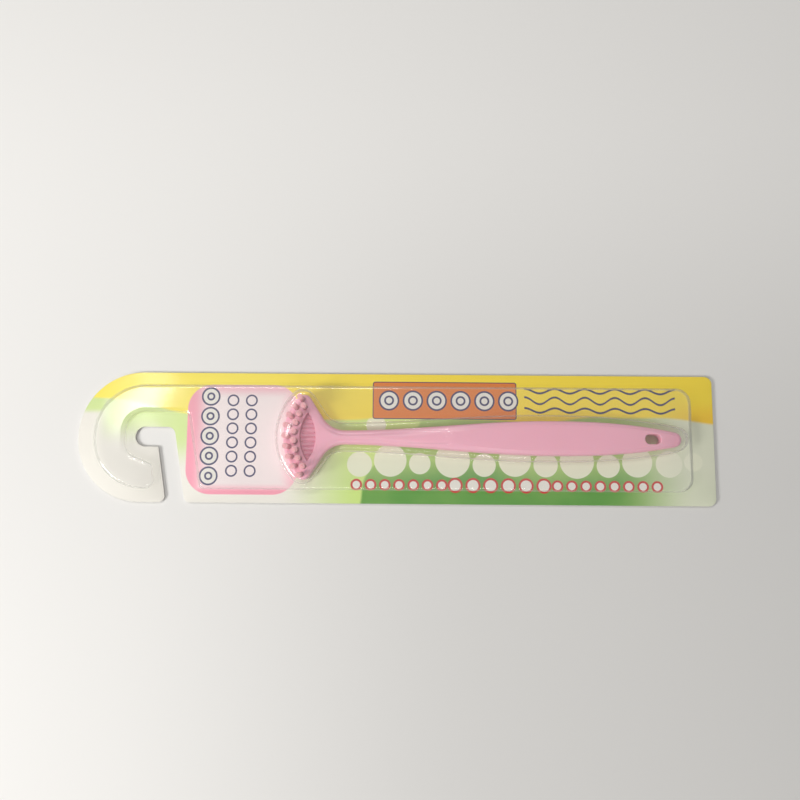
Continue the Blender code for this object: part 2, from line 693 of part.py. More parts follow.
def anchor_mesh(material):
    """One anchor: a thin plate with its long edges along the slit of its tuft."""
    bm = bmesh.new()
    bottom = FOLD_THICKNESS + TUFT_FIT - TUFT_ROOT_DEPTH
    half_width, half_thickness = ANCHOR_WIDTH / 2, ANCHOR_THICKNESS / 2
    outline = [(x * half_width, y * half_thickness) for x, y in ((-1, -1), (1, -1), (1, 1), (-1, 1))]
    prism(bm, outline, bottom, bottom + ANCHOR_HEIGHT)
    mesh = bpy.data.meshes.new("tuft_anchor")
    bm.to_mesh(mesh)
    bm.free()
    mesh.materials.append(material)
    return mesh


def place_copies(name, mesh):
    """One object of a mesh at each tuft's place."""
    copies = []
    for number, (place, turn) in enumerate(tuft_places(), start=1):
        copy = bpy.data.objects.new(f"{name}_{number:02d}", mesh)
        copy.location = place
        copy.rotation_euler = turn.to_euler()
        bpy.context.collection.objects.link(copy)
        copies.append(copy)
    return copies


def carry(name, place, things):
    """Parents things to an empty at a joint, where they stay in their places."""
    joint = bpy.data.objects.new(name, None)
    joint.location = place
    bpy.context.collection.objects.link(joint)
    for thing in things:
        thing.parent = joint
        thing.location = thing.location - joint.location


def build():
    """Makes the whole pack."""
    clear_scene()
    board = plastic("printed_card", (0.72, 0.62, 0.22), 0.45)
    clear = plastic("clear_blister", (0.90, 0.93, 0.92), 0.05, alpha=0.25)
    pink = plastic("pink_plastic", (0.74, 0.42, 0.48), 0.28)
    nylon = plastic("nylon_bristle", (0.82, 0.66, 0.69), 0.40)
    metal = plastic("anchor_metal", (0.78, 0.66, 0.40), 0.35, metallic=1.0)
    backing_card(board)
    blister = blister_shell(clear)
    handle = brush_handle(pink)
    tufts = place_copies("tuft", tuft_mesh(nylon))
    anchors = place_copies("tuft_anchor", anchor_mesh(metal))
    cutters = [modifier.object for modifier in handle.modifiers]
    carry("blister_hinge", (HOOK_END_X, 0.0, CARD_THICKNESS + SEAT_GAP), [blister])
    carry("brush_slide", (0.0, 0.0, BRUSH_Z), [handle, *cutters, *tufts, *anchors])


build()
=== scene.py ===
"""Looks of a tongue brush in its blister pack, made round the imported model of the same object.

All lengths are in metres, in the model's own frame. The pack lies on its back on the plane z = 0, its hook
end points along -X, the tail of the brush along +X, and the blister faces +Z. Y = 0 runs down its middle.
"""

import math

import bpy
import numpy as np
from bpy.props import FloatProperty, FloatVectorProperty, IntProperty, PointerProperty
from mathutils import Matrix, Vector
from mathutils.geometry import delaunay_2d_cdt


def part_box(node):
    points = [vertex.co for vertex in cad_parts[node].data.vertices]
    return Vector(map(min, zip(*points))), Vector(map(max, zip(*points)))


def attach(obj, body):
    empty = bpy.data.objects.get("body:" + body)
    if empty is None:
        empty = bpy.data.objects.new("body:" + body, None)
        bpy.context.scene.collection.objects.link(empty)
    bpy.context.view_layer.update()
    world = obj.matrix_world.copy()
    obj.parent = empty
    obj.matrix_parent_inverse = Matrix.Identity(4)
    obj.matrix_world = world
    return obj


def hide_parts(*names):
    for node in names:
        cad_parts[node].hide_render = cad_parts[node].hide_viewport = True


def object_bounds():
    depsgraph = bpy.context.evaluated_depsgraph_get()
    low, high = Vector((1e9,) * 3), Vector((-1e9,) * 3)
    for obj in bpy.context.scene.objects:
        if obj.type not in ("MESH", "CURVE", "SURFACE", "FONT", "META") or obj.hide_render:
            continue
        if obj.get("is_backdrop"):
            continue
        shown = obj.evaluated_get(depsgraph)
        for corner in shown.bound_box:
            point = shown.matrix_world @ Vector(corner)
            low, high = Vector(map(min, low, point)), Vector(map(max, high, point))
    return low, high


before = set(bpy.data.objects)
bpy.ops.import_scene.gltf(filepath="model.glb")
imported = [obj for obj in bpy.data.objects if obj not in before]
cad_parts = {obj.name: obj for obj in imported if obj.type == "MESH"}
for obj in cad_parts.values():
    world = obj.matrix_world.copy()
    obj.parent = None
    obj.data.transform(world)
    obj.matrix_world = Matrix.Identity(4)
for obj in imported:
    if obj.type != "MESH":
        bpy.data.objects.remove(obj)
CAD_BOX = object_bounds()

bl_info = {
    "name": "Tongue brush pack",
    "version": (1, 0, 0),
    "blender": (4, 5, 0),
    "location": "View3D > Sidebar > Tongue brush",
    "description": "Builds a tongue brush in its blister pack, with its finishes and a stage",
    "category": "Object",
}

MM = 0.001
QUARTER = math.pi / 2
CARD_LOW, CARD_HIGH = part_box("backing_card")
BRUSH_LOW, BRUSH_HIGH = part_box("brush_handle")
TUFTS = [name for name in sorted(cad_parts) if name.startswith("tuft_") and "anchor" not in name]
ANCHORS = [name for name in sorted(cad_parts) if name.startswith("tuft_anchor_")]


def length(name, default, about):
    """A property that is a length in metres."""
    return FloatProperty(name=name, description=about, default=default, unit="LENGTH", precision=5)


def share(name, default, about):
    """A property that is a share of something."""
    return FloatProperty(name=name, description=about, default=default, min=0.0, subtype="FACTOR")


def colour(name, default, about):
    """A property that is a linear colour."""
    return FloatVectorProperty(
        name=name, description=about, default=default, size=3, min=0.0, max=1.0, subtype="COLOR")


class PackSizes(bpy.types.PropertyGroup):
    """Sizes of the card and the blister."""

    card_length: length("Card length", CARD_HIGH.x - CARD_LOW.x, "Length of the card, hook end to tail end")
    card_width: length("Card width", CARD_HIGH.y - CARD_LOW.y, "Width of the card")
    card_thickness: length("Board", CARD_HIGH.z - CARD_LOW.z, "Thickness of the card's board")
    card_corner: length("Card corner", 2.6 * MM, "Radius of the corners at the tail end")
    slot_height: length("Peg slot", 6.9 * MM, "Height of the slot for the peg")
    hook_band: length("Hook band", 19.75 * MM, "From the hook end to the end of the slot")
    lip_length: length("Lip", 8.0 * MM, "Length of the slot's lower side")
    mouth_width: length("Mouth", 6.6 * MM, "Width of the slot's mouth at the card's edge")
    sheet: length("Sheet", 0.3 * MM, "Wall of the clear sheet")
    seal_gap: length("Seal", 0.04 * MM, "Thickness of the seal between card and flange")
    platform_top: length("Platform top", 3.65 * MM, "Height of the platform's flat top")
    flange_side: length("Side flange", 4.5 * MM, "Width of the flange along the sides")
    flange_hook: length("Hook flange", 5.8 * MM, "Width of the flange round the hook")
    flange_tail: length("Tail flange", 8.2 * MM, "Width of the flange at the tail end")
    dome_top: length("Dome top", 10.85 * MM, "Height of the dome's shoulder over the bristles")
    trench_top: length("Trench top", 8.05 * MM, "Height of the cavity's shoulder over the grip")
    crown: share("Crown", 0.055, "Rise of the cavity's top as a share of its half width")
    dimple: length("Dimple", 0.9 * MM, "Depth of the dimple over the neck")


class BrushSizes(bpy.types.PropertyGroup):
    """Sizes of the pink moulding."""

    brush_length: length("Brush length", BRUSH_HIGH.x - BRUSH_LOW.x, "From the head's front to the tail")
    head_length: length("Head length", 21.0 * MM, "From the head's front to the start of the neck")
    head_half_span: length("Head half span", 14.6 * MM, "From the middle line to the head's tip")
    head_arc: length("Head arc", 21.5 * MM, "Radius of the head's front")
    head_tip: length("Head tip", 2.6 * MM, "Radius of the head's tips")
    neck_fillet: length("Neck fillet", 9.0 * MM, "Radius between the head's flank and the neck")
    neck_half_width: length("Neck half width", 2.45 * MM, "From the middle line to the neck's side")
    grip_half_width: length("Grip half width", 5.9 * MM, "From the middle line to the grip's side")
    tail_half_width: length("Tail half width", 2.5 * MM, "Radius of the tail")
    head_thickness: length("Head thickness", 4.2 * MM, "Thickness of the head plate")
    neck_thickness: length("Neck thickness", 4.6 * MM, "Thickness of the neck")
    grip_thickness: length("Grip thickness", 6.0 * MM, "Thickness of the grip at its widest")
    tail_thickness: length("Tail thickness", 4.0 * MM, "Thickness of the tail")
    lens_middle: length("Recess middle", 8.35 * MM, "From the head's front to the middle of the recess")
    lens_half_width: length("Recess half width", 2.75 * MM, "Half the width of the ribbed recess")
    lens_half_length: length("Recess half length", 8.3 * MM, "Half the length of the ribbed recess")
    lens_depth: length("Recess depth", 1.8 * MM, "Depth of the ribbed recess")
    rib_pitch: length("Rib pitch", 1.5 * MM, "Distance between two ribs")
    rib_height: length("Rib height", 0.5 * MM, "Height of a rib over the floor")


class BristleSizes(bpy.types.PropertyGroup):
    """Sizes and counts of the bristle tufts."""

    outer_count: IntProperty(name="Outer tufts", description="Tufts in the outer row", default=9, min=2)
    outer_inset: length("Outer row", 1.7 * MM, "From the head's front edge to the outer row")
    inner_inset: length("Inner row", 4.0 * MM, "From the head's front edge to the inner row")
    end_margin: length("End margin", 1.75 * MM, "From the head's tip to the last tuft")
    tuft_radius: length("Tuft radius", 0.9 * MM, "Radius of a tuft where it leaves the head")
    height: length("Bristle height", 5.0 * MM, "Height of the bristles over the head")
    strand_radius: length("Strand radius", 0.115 * MM, "Radius of one strand")
    strand_pitch: length("Strand pitch", 0.245 * MM, "Distance between neighbouring strands")
    splay: share("Splay", 0.30, "How much wider a tuft is at its tips")


class Colours(bpy.types.PropertyGroup):
    """Colours of the finishes."""

    board: colour("Board", (0.835, 0.80, 0.75), "White of the coated board")
    back: colour("Back", (0.72, 0.70, 0.65), "The card's plain back")
    yellow: colour("Yellow", (0.93, 0.71, 0.05), "Upper band of the print")
    amber: colour("Amber", (0.90, 0.50, 0.03), "Low part of the upper band at the tail end")
    green: colour("Green", (0.10, 0.30, 0.045), "Deep part of the lower band")
    fresh: colour("Fresh green", (0.60, 0.76, 0.24), "Light part of the lower band")
    mint: colour("Mint", (0.84, 0.84, 0.68), "Bubbles on the lower band")
    rose: colour("Rose", (0.88, 0.35, 0.46), "Edge of the left panel")
    blush: colour("Blush", (0.93, 0.82, 0.83), "Middle of the left panel")
    orange: colour("Orange", (0.72, 0.20, 0.025), "The upper bar")
    navy: colour("Navy", (0.020, 0.018, 0.10), "Outlines and thin waves")
    red: colour("Red", (0.55, 0.02, 0.02), "Rings of the small bubbles")
    pink: colour("Pink plastic", (0.93, 0.45, 0.58), "The brush's plastic")
    nylon: colour("Nylon", (0.94, 0.81, 0.82), "Bristles")
    brass: colour("Anchor metal", (0.78, 0.66, 0.40), "Anchor plates")
    haze: colour("Haze", (0.93, 0.93, 0.90), "Milkiness of the clear sheet")
    floor: colour("Floor", (0.95, 0.942, 0.925), "The table")


class StageSettings(bpy.types.PropertyGroup):
    """Camera and light."""

    camera_distance: length("Camera distance", 300.0 * MM, "From the aim to the camera")
    camera_tilt: FloatProperty(
        name="Camera tilt", description="How far the camera leans back from straight down",
        default=math.radians(8.0), subtype="ANGLE", unit="ROTATION")
    camera_roll: FloatProperty(
        name="Camera roll", description="Turn of the camera about its own axis",
        default=math.radians(0.46), subtype="ANGLE", unit="ROTATION")
    view_width: length("View width", 279.2 * MM, "Width of what the camera sees at the aim")
    aim: FloatVectorProperty(
        name="Aim", description="Point at the middle of the picture", size=3, unit="LENGTH",
        default=(1.2 * MM, 13.55 * MM, 0.0))
    sky: share("Sky", 0.225, "Strength of the light from all round")


def settings():
    """The scene's property groups, which the operators read."""
    scene = bpy.context.scene
    return scene.pack_sizes, scene.brush_sizes, scene.bristle_sizes, scene.pack_colours, scene.pack_stage


# Numbers of points, and sizes too small to set

OUTLINE_STEP = 0.9 * MM
ARC_STEP = 0.35 * MM
FULL_ROUND = 0.98
SMOOTH_ANGLE = math.radians(32.0)
ROUND_STEPS = 6
CARD_EDGE = 0.05 * MM
FLAT_RIM = 0.08 * MM
SKIN_PROUD = 0.05 * MM
MOUTH_TOP_LESS = 1.3 * MM
LIP_SLANT = 3.3 * MM
LANDS = {"slot_top": 5.0 * MM, "slot_foot": 2.0 * MM, "slot_end": 3.0 * MM, "lip_slot": 6.0 * MM,
         "lip_top": 1.2 * MM, "lip_foot": 3.6 * MM, "mouth": 5.15 * MM}


# Finishes

class Reading:
    """A number that changes over a surface: a socket, whose operators add Math nodes behind it.

    The signs + - * / and **, also with a plain number on their left, are added below the class.
    """

    def __init__(self, finish, socket):
        self.finish = finish
        self.socket = socket

    def math(self, operation, *others):
        return self.finish.math(operation, self, *others)

    def __abs__(self):
        return self.math("ABSOLUTE")

    def least(self, other):
        return self.math("MINIMUM", other)

    def most(self, other):
        return self.math("MAXIMUM", other)

    def ramp(self, low, high):
        """Rises smoothly from 0 at low to 1 at high, or falls where high is the lower one."""
        stops = {"From Min": low, "From Max": high}
        return Reading(self.finish, self.finish.node(
            "ShaderNodeMapRange", {"interpolation_type": "SMOOTHSTEP"}, {"Value": self, **stops}).outputs[0])


SIGNS = {"add": "ADD", "sub": "SUBTRACT", "mul": "MULTIPLY", "truediv": "DIVIDE", "pow": "POWER"}
for sign, operation in SIGNS.items():
    setattr(Reading, f"__{sign}__", lambda self, other, kind=operation: self.finish.math(kind, self, other))
    setattr(Reading, f"__r{sign}__", lambda self, other, kind=operation: self.finish.math(kind, other, self))


class Nodes:
    """The node tree of a material or a world while it is made."""

    def __init__(self, owner):
        owner.use_nodes = True
        self.tree = owner.node_tree
        self.tree.nodes.clear()

    def node(self, kind, options=None, inputs=None):
        """Adds a node, with its settings first and then the values or links of its sockets."""
        node = self.tree.nodes.new(kind)
        for key, value in (options or {}).items():
            setattr(node, key, value)
        for key, value in (inputs or {}).items():
            source = value.socket if isinstance(value, Reading) else value
            if isinstance(source, bpy.types.NodeSocket):
                self.tree.links.new(source, node.inputs[key])
            else:
                node.inputs[key].default_value = source
        return node

    def math(self, operation, *values):
        node = self.node("ShaderNodeMath", {"operation": operation}, dict(enumerate(values)))
        return Reading(self, node.outputs[0])

    def path(self, ray):
        """1 for rays of a kind and 0 for the others."""
        return Reading(self, self.node("ShaderNodeLightPath").outputs[ray])


class Finish(Nodes):
    """A material while it is made, with the place on the surface in millimetres."""

    MIX_COLOURS, MIX_RESULT = (6, 7), 2

    def __init__(self, name):
        self.material = bpy.data.materials.new(name)
        super().__init__(self.material)
        self.place = self.node("ShaderNodeTexCoord").outputs["Object"]
        parts = self.node("ShaderNodeSeparateXYZ", None, {0: self.place})
        self.x, self.y, self.z = (Reading(self, socket) / MM for socket in parts.outputs)

    def noise(self, scale, detail=2.0, stretch=(1.0, 1.0, 1.0)):
        """A cloudy number from 0 to 1, of scale clouds a metre."""
        place = self.node("ShaderNodeMapping", None, {"Vector": self.place, "Scale": stretch}).outputs[0]
        node = self.node("ShaderNodeTexNoise", None, {"Vector": place, "Scale": scale, "Detail": detail})
        return Reading(self, node.outputs[0])

    def mix(self, amount, first, second):
        """A colour between two others, each of them three numbers or a socket."""
        node = self.node("ShaderNodeMix", {"data_type": "RGBA"}, {"Factor": amount})
        for number, value in zip(self.MIX_COLOURS, (first, second)):
            if isinstance(value, bpy.types.NodeSocket):
                self.tree.links.new(value, node.inputs[number])
            else:
                node.inputs[number].default_value = (*value, 1.0)
        return node.outputs[self.MIX_RESULT]

    def bump(self, height, strength, distance):
        """A normal that follows a height."""
        inputs = {"Height": height, "Strength": strength, "Distance": distance}
        return self.node("ShaderNodeBump", None, inputs).outputs[0]

    def blend(self, amount, first, second):
        """A shader between two others."""
        return self.node("ShaderNodeMixShader", None, {0: amount, 1: first, 2: second}).outputs[0]

    def surface(self, shader):
        """Connects the shader to the output and returns the material."""
        self.node("ShaderNodeOutputMaterial", None, {"Surface": shader})
        return self.material

    def shader(self, kind, **inputs):
        """A shader of a kind, whose sockets are named with underscores for spaces."""
        named = {key.replace("_", " "): value for key, value in inputs.items()}
        return self.node(kind, None, named).outputs[0]

    def plastic(self, **inputs):
        """A Principled shader."""
        return self.shader("ShaderNodeBsdfPrincipled", **inputs)


def disc(x, y, radius):
    """How far a place lies outside a disc, in millimetres, from its place relative to the middle."""
    return (x * x + y * y) ** 0.5 - radius


def panel(x, y, box, radius):
    """How far a place lies outside a rectangle with round corners, box being x0, y0, x1, y1."""
    x0, y0, x1, y1 = box
    over_x = (abs(x - (x0 + x1) / 2) - ((x1 - x0) / 2 - radius)).most(0.0)
    over_y = (abs(y - (y0 + y1) / 2) - ((y1 - y0) / 2 - radius)).most(0.0)
    return (over_x * over_x + over_y * over_y) ** 0.5 - radius


def row_of_discs(along, over, first, pitch, count, radius):
    """How far a place lies outside the nearest of a row of discs, over being its distance to the row."""
    number = ((along - first) / pitch).math("ROUND").most(0.0).least(count - 1.0)
    return disc(along - first - number * pitch, over, radius)


def inked(distance, soft=0.08):
    """1 inside a shape and 0 outside, with a soft rim of so many millimetres."""
    return distance.ramp(soft, -soft)


def wave(along, turn, shift=0.0):
    """A sine of so many millimetres a turn."""
    return ((along + shift) * (math.tau / turn)).math("SINE")


def tinted(base, shares):
    """A colour with each of its three parts multiplied by a share."""
    return tuple(part * share for part, share in zip(base, shares))


# The print, in millimetres: a box is x0, y0, x1, y1, a row is its first place, pitch, count and radius

LEFT_PANEL, LEFT_CORNER = (-72.5, -19.7, -34.0, 18.4), 8.6
BAR, BAR_CORNER = (-8.3, 6.8, 41.8, 19.9), 0.9
WAVES, WAVES_CORNER = (44.5, 6.0, 97.0, 20.0), 0.5
WAVE_LINES, WAVE_TURN = ((17.0, 0.8), (13.6, 1.2), (10.2, 0.8)), 10.5
BAR_DISCS, BAR_DISCS_Y = (-2.6, 8.3, 6, 3.3), 13.3
PANEL_DISCS, PANEL_DISCS_X = (-13.4, 6.9, 5, 3.0), -64.6
PANEL_RINGS, PANEL_RINGS_X = (-11.6, 4.9, 6, 1.8), (-56.8, -50.4)
PIPS, PIPS_Y = ((-13.6, 4.9, 7, 2.0), (20.4, 6.1, 6, 2.6), (55.6, 4.9, 8, 2.0)), -16.0
BUBBLES = ((-12.6, -9.0, 4.3), (-2.0, -7.6, 5.6), (8.2, -8.6, 3.7), (19.5, -7.4, 6.0), (30.4, -9.0, 4.0),
           (41.0, -7.3, 5.6), (51.6, -8.8, 4.2), (62.4, -7.5, 5.9), (73.2, -9.0, 4.0), (83.2, -7.6, 5.2),
           (94.2, -8.2, 4.6), (-7.0, 4.6, 3.4), (102.6, -7.4, 3.2))


def card_finish(colours):
    """Coated board, printed on its front with bands, a panel, a bar and rows of bubbles.

    A band or shape is a mask from its distance to the place in millimetres. The back and the cut edge are
    plain board with fibres.
    """
    ink = Finish("printed_card")
    x, y = ink.x, ink.y
    white, navy = colours.board, colours.navy

    def stamp(distance, under, over):
        return ink.mix(inked(distance), under, over)

    tone = ink.noise(42.0, 3.0)
    swell = wave(x, 74.0, 12.0) * 1.1 + wave(x, 31.0, 4.0) * 0.4
    climb = x.ramp(-66.0, -106.0) * 8.0
    meadow = x.ramp(-42.0, -12.0) * (1.0 - x.ramp(70.0, 104.0) * 0.80)
    over_slot = x.ramp(-66.0, -74.0) * (y + x.ramp(-84.0, -77.0) * 8.0).ramp(-4.0, 8.0)
    over_slot = over_slot * x.ramp(-105.0, -98.0)
    hook_green = (over_slot * 0.80).most(x.ramp(-97.0, -103.0) * y.ramp(7.5, 10.0) * 0.8)
    fresh = meadow.most(hook_green) * (0.9 + tone * 0.2)
    edge = (x - wave(y, 30.0, 4.0) * 3.0 - y * 0.7).ramp(1.0, 2.2) * (1.0 - x.ramp(74.0, 102.0) * 0.9)
    deep = edge * y.ramp(1.0, -18.5 + wave(x, 66.0, -8.0) * 3.0) * (0.66 + tone * 0.6)
    printed = ink.mix(fresh, white, colours.fresh)
    printed = ink.mix(deep.most(edge * 0.40).least(1.0), printed, colours.green)
    bubbles = None
    for middle_x, middle_y, radius in BUBBLES:
        one = disc(x - middle_x, y - middle_y, radius)
        bubbles = one if bubbles is None else bubbles.least(one)
    printed = ink.mix(inked(bubbles) * 0.93, printed, colours.mint)
    sunny = (y - (6.9 + swell + climb)).ramp(-0.5, 0.7)
    low_tail = x.ramp(88.0, 108.0) * y.ramp(15.0, 7.0) * 0.6
    lemon = tuple(part + 0.6 * (1.0 - part) * lift for part, lift in zip(colours.yellow, (0.8, 0.6, 0.12)))
    yellow = ink.mix(x.ramp(10.0, -80.0), colours.yellow, lemon)
    printed = ink.mix(sunny, printed, ink.mix(low_tail, yellow, colours.amber))
    left, low, right, high = LEFT_PANEL
    glow = (x - left).ramp(9.0, 1.5).most((y - low).ramp(4.2, 0.8))
    glow = glow.most((high - y).ramp(5.0, 0.5) * 0.7).most((right - x).ramp(7.0, 0.5) * 0.6)
    inner = ink.mix(glow, colours.blush, colours.rose)
    printed = stamp(panel(x, y, LEFT_PANEL, LEFT_CORNER), printed, inner)
    bar = panel(x, y, BAR, BAR_CORNER)
    printed = stamp(bar, printed, navy)
    printed = stamp(bar + 0.3, printed, colours.orange)
    for along, over, row in ((x, y - BAR_DISCS_Y, BAR_DISCS), (y, x - PANEL_DISCS_X, PANEL_DISCS)):
        dots = row_of_discs(along, over, *row)
        printed = stamp(dots - 0.25, printed, navy)
        printed = stamp(dots + 0.35, printed, white)
        printed = stamp(abs(dots + 1.9) - 0.32, printed, navy)
    for column in PANEL_RINGS_X:
        rings = row_of_discs(y, x - column, *PANEL_RINGS)
        printed = stamp(abs(rings) - 0.28, printed, navy)
    inside = panel(x, y, WAVES, WAVES_CORNER)
    for height, reach in WAVE_LINES:
        line = abs(y - height - wave(x, WAVE_TURN) * reach) - 0.36
        printed = stamp(line.most(inside), printed, navy)
    for row in PIPS:
        pips = row_of_discs(x, y - PIPS_Y, *row)
        printed = stamp(pips, printed, colours.red)
        printed = stamp(pips + 0.70, printed, white)
    fibres = ink.noise(900.0, 4.0, (1.0, 3.0, 1.0))
    plain = ink.mix(fibres.ramp(0.35, 0.7) * 0.35 + tone * 0.2, colours.board, colours.back)
    front = ink.z.ramp(0.38, 0.44)
    coat = ink.mix(front, plain, printed)
    rough = 0.85 - front * 0.40 + (fibres - 0.5) * 0.12
    grain = ink.bump(fibres, 0.35, 0.00002)
    return ink.surface(ink.plastic(Base_Color=coat, Roughness=rough, Normal=grain, Specular_IOR_Level=0.4))


def sheet_finish(colours):
    """Clear formed sheet: seen straight through, and milkier off the card and where it is seen edge-on.

    Light goes through a Transparent shader, and a small share of it is scattered by the haze, more at the
    bends. The share that is mirrored is 0.08 straight on, for both faces of the sheet together, and grows
    with the fifth power of the slant. It is less where the sheet is sealed to the card. Only a face that is
    met from the air mirrors, so no light is caught inside the sheet. Waviness bends the reflections.
    """
    clear = Finish("clear_blister")
    sway = clear.noise(60.0, 1.0) + clear.noise(220.0, 1.0) * 0.06
    bent = clear.bump(sway, 0.10, 0.0010)
    straight = clear.shader("ShaderNodeBsdfTransparent", Color=(0.993, 0.996, 0.992, 1.0))
    near, through = (clear.shader(kind, Color=(*colours.haze, 1.0))
                     for kind in ("ShaderNodeBsdfDiffuse", "ShaderNodeBsdfTranslucent"))
    milk = clear.blend(0.5, near, through)
    mirror = clear.shader("ShaderNodeBsdfGlossy", Roughness=0.10, Normal=bent)
    weight = clear.node("ShaderNodeLayerWeight", None, {"Blend": 0.5, "Normal": bent})
    facing = Reading(clear, weight.outputs["Facing"])
    front = 1.0 - Reading(clear, clear.node("ShaderNodeNewGeometry").outputs["Backfacing"])
    shadow = clear.path("Is Shadow Ray")
    raised = clear.z.ramp(0.9, 1.6)
    cloud = clear.noise(55.0, 2.0)
    seen = front * (1.0 - shadow)
    bends = (facing ** 2.0) * 0.7 * seen
    body = clear.blend(0.002 + raised * (0.002 + cloud * 0.006) + bends, straight, milk)
    gloss = (front * 0.08 + (facing ** 5.0) * 0.85 * seen).least(0.60) * (0.30 + raised * 0.70)
    return clear.surface(clear.blend(gloss, body, mirror))


def pink_finish(colours):
    """Moulded pink plastic: a little paler where the flow was thin, satin, with a faint moulded skin.

    Shade is painted into its colour: painted shade in the recess and low on the head, a painted shadow line
    along the recess's wall on the side of the tufts, and painted shade towards the tail.
    """
    pink = Finish("pink_plastic")
    flow = pink.noise(34.0, 3.0, (0.35, 1.0, 1.0))
    skin = pink.noise(2600.0, 2.0)
    pale = tuple(min(1.0, part * 1.06 + 0.02) for part in colours.pink)
    # a darker pink that stands in for shade, used for the painted shade below
    shaded_pink = tinted(colours.pink, (0.72, 0.55, 0.60))
    head = pink.x.ramp(-24.0, -26.0)
    # painted shade in the recess and low on the head
    deep = head * pink.z.ramp(4.45, 3.6) * 0.30
    # a painted shadow line along the recess's wall on the side of the tufts
    corner = head * pink.z.ramp(4.5, 4.3) * inked(abs(disc(pink.x + 19.1, pink.y, 13.9)) - 0.22) * 0.9
    # painted shade: a little darker along the grip towards the tail, and most at the tail's end
    end = pink.x.ramp(90.0, 98.0) * 0.35 + pink.x.ramp(-5.0, 70.0) * 0.12
    tone = pink.mix(flow.ramp(0.3, 0.7) * 0.6, colours.pink, pale)
    tone = pink.mix(deep.most(end).most(corner), tone, shaded_pink)
    rough = 0.22 + flow * 0.08 + skin * 0.05
    normal = pink.bump(skin + flow * 4.0, 0.10, 0.00006)
    return pink.surface(pink.plastic(
        Base_Color=tone, Roughness=rough, Normal=normal, Specular_IOR_Level=0.5,
        Subsurface_Weight=0.12, Subsurface_Scale=0.0012))


def nylon_finish(colours):
    """Pale nylon: strands that differ a little in tone, and are paler towards their tips.

    Half of a strand's look is light from behind it, and its shadow is faint, so light gets into a tuft.
    """
    nylon = Finish("nylon_bristle")
    streak = nylon.noise(5200.0, 1.0, (1.0, 1.0, 0.08))
    tips = nylon.z.ramp(5.2, 9.8)
    low = tinted(colours.nylon, (1.0, 0.75, 0.82))
    tone = nylon.mix(tips * 0.7 + streak * 0.3, low, colours.nylon)
    strand = nylon.plastic(Base_Color=tone, Roughness=0.28 + streak * 0.15)
    through = tinted(colours.nylon, (1.0, 0.86, 0.90))
    glow = nylon.shader("ShaderNodeBsdfTranslucent", Color=(*through, 1.0))
    empty = nylon.shader("ShaderNodeBsdfTransparent")
    lit = nylon.blend(0.50, strand, glow)
    return nylon.surface(nylon.blend(nylon.path("Is Shadow Ray") * 0.96, lit, empty))


def brass_finish(colours):
    """Rolled anchor wire: brass with fine lines along its length."""
    brass = Finish("anchor_metal")
    lines = brass.noise(6000.0, 2.0, (0.1, 1.0, 1.0))
    tone = brass.mix(lines, tinted(colours.brass, (0.7, 0.7, 0.7)), colours.brass)
    rough = 0.28 + lines * 0.2
    return brass.surface(brass.plastic(Base_Color=tone, Metallic=1.0, Roughness=rough))


def table_finish(colours):
    """A pale table with a fine matt grain, and painted shade that makes it a little greyer in front, most of
    all to the right.
    """
    table = Finish("table")
    grain = table.noise(1400.0, 3.0)
    patch = table.noise(6.0, 2.0)
    # painted shade: the floor is painted darker in front and to the right, where less light falls
    low = table.y.ramp(125.0, -20.0) * (0.45 + table.x.ramp(-100.0, 35.0) * 0.55)
    shaded_floor = tinted(colours.floor, (0.79, 0.79, 0.79))
    tone = table.mix(low * 0.94 + patch * 0.06, colours.floor, shaded_floor)
    return table.surface(table.plastic(
        Base_Color=tone, Roughness=0.62 + grain * 0.2, Normal=table.bump(grain, 0.12, 0.00005),
        Specular_IOR_Level=0.25))


# Shapes

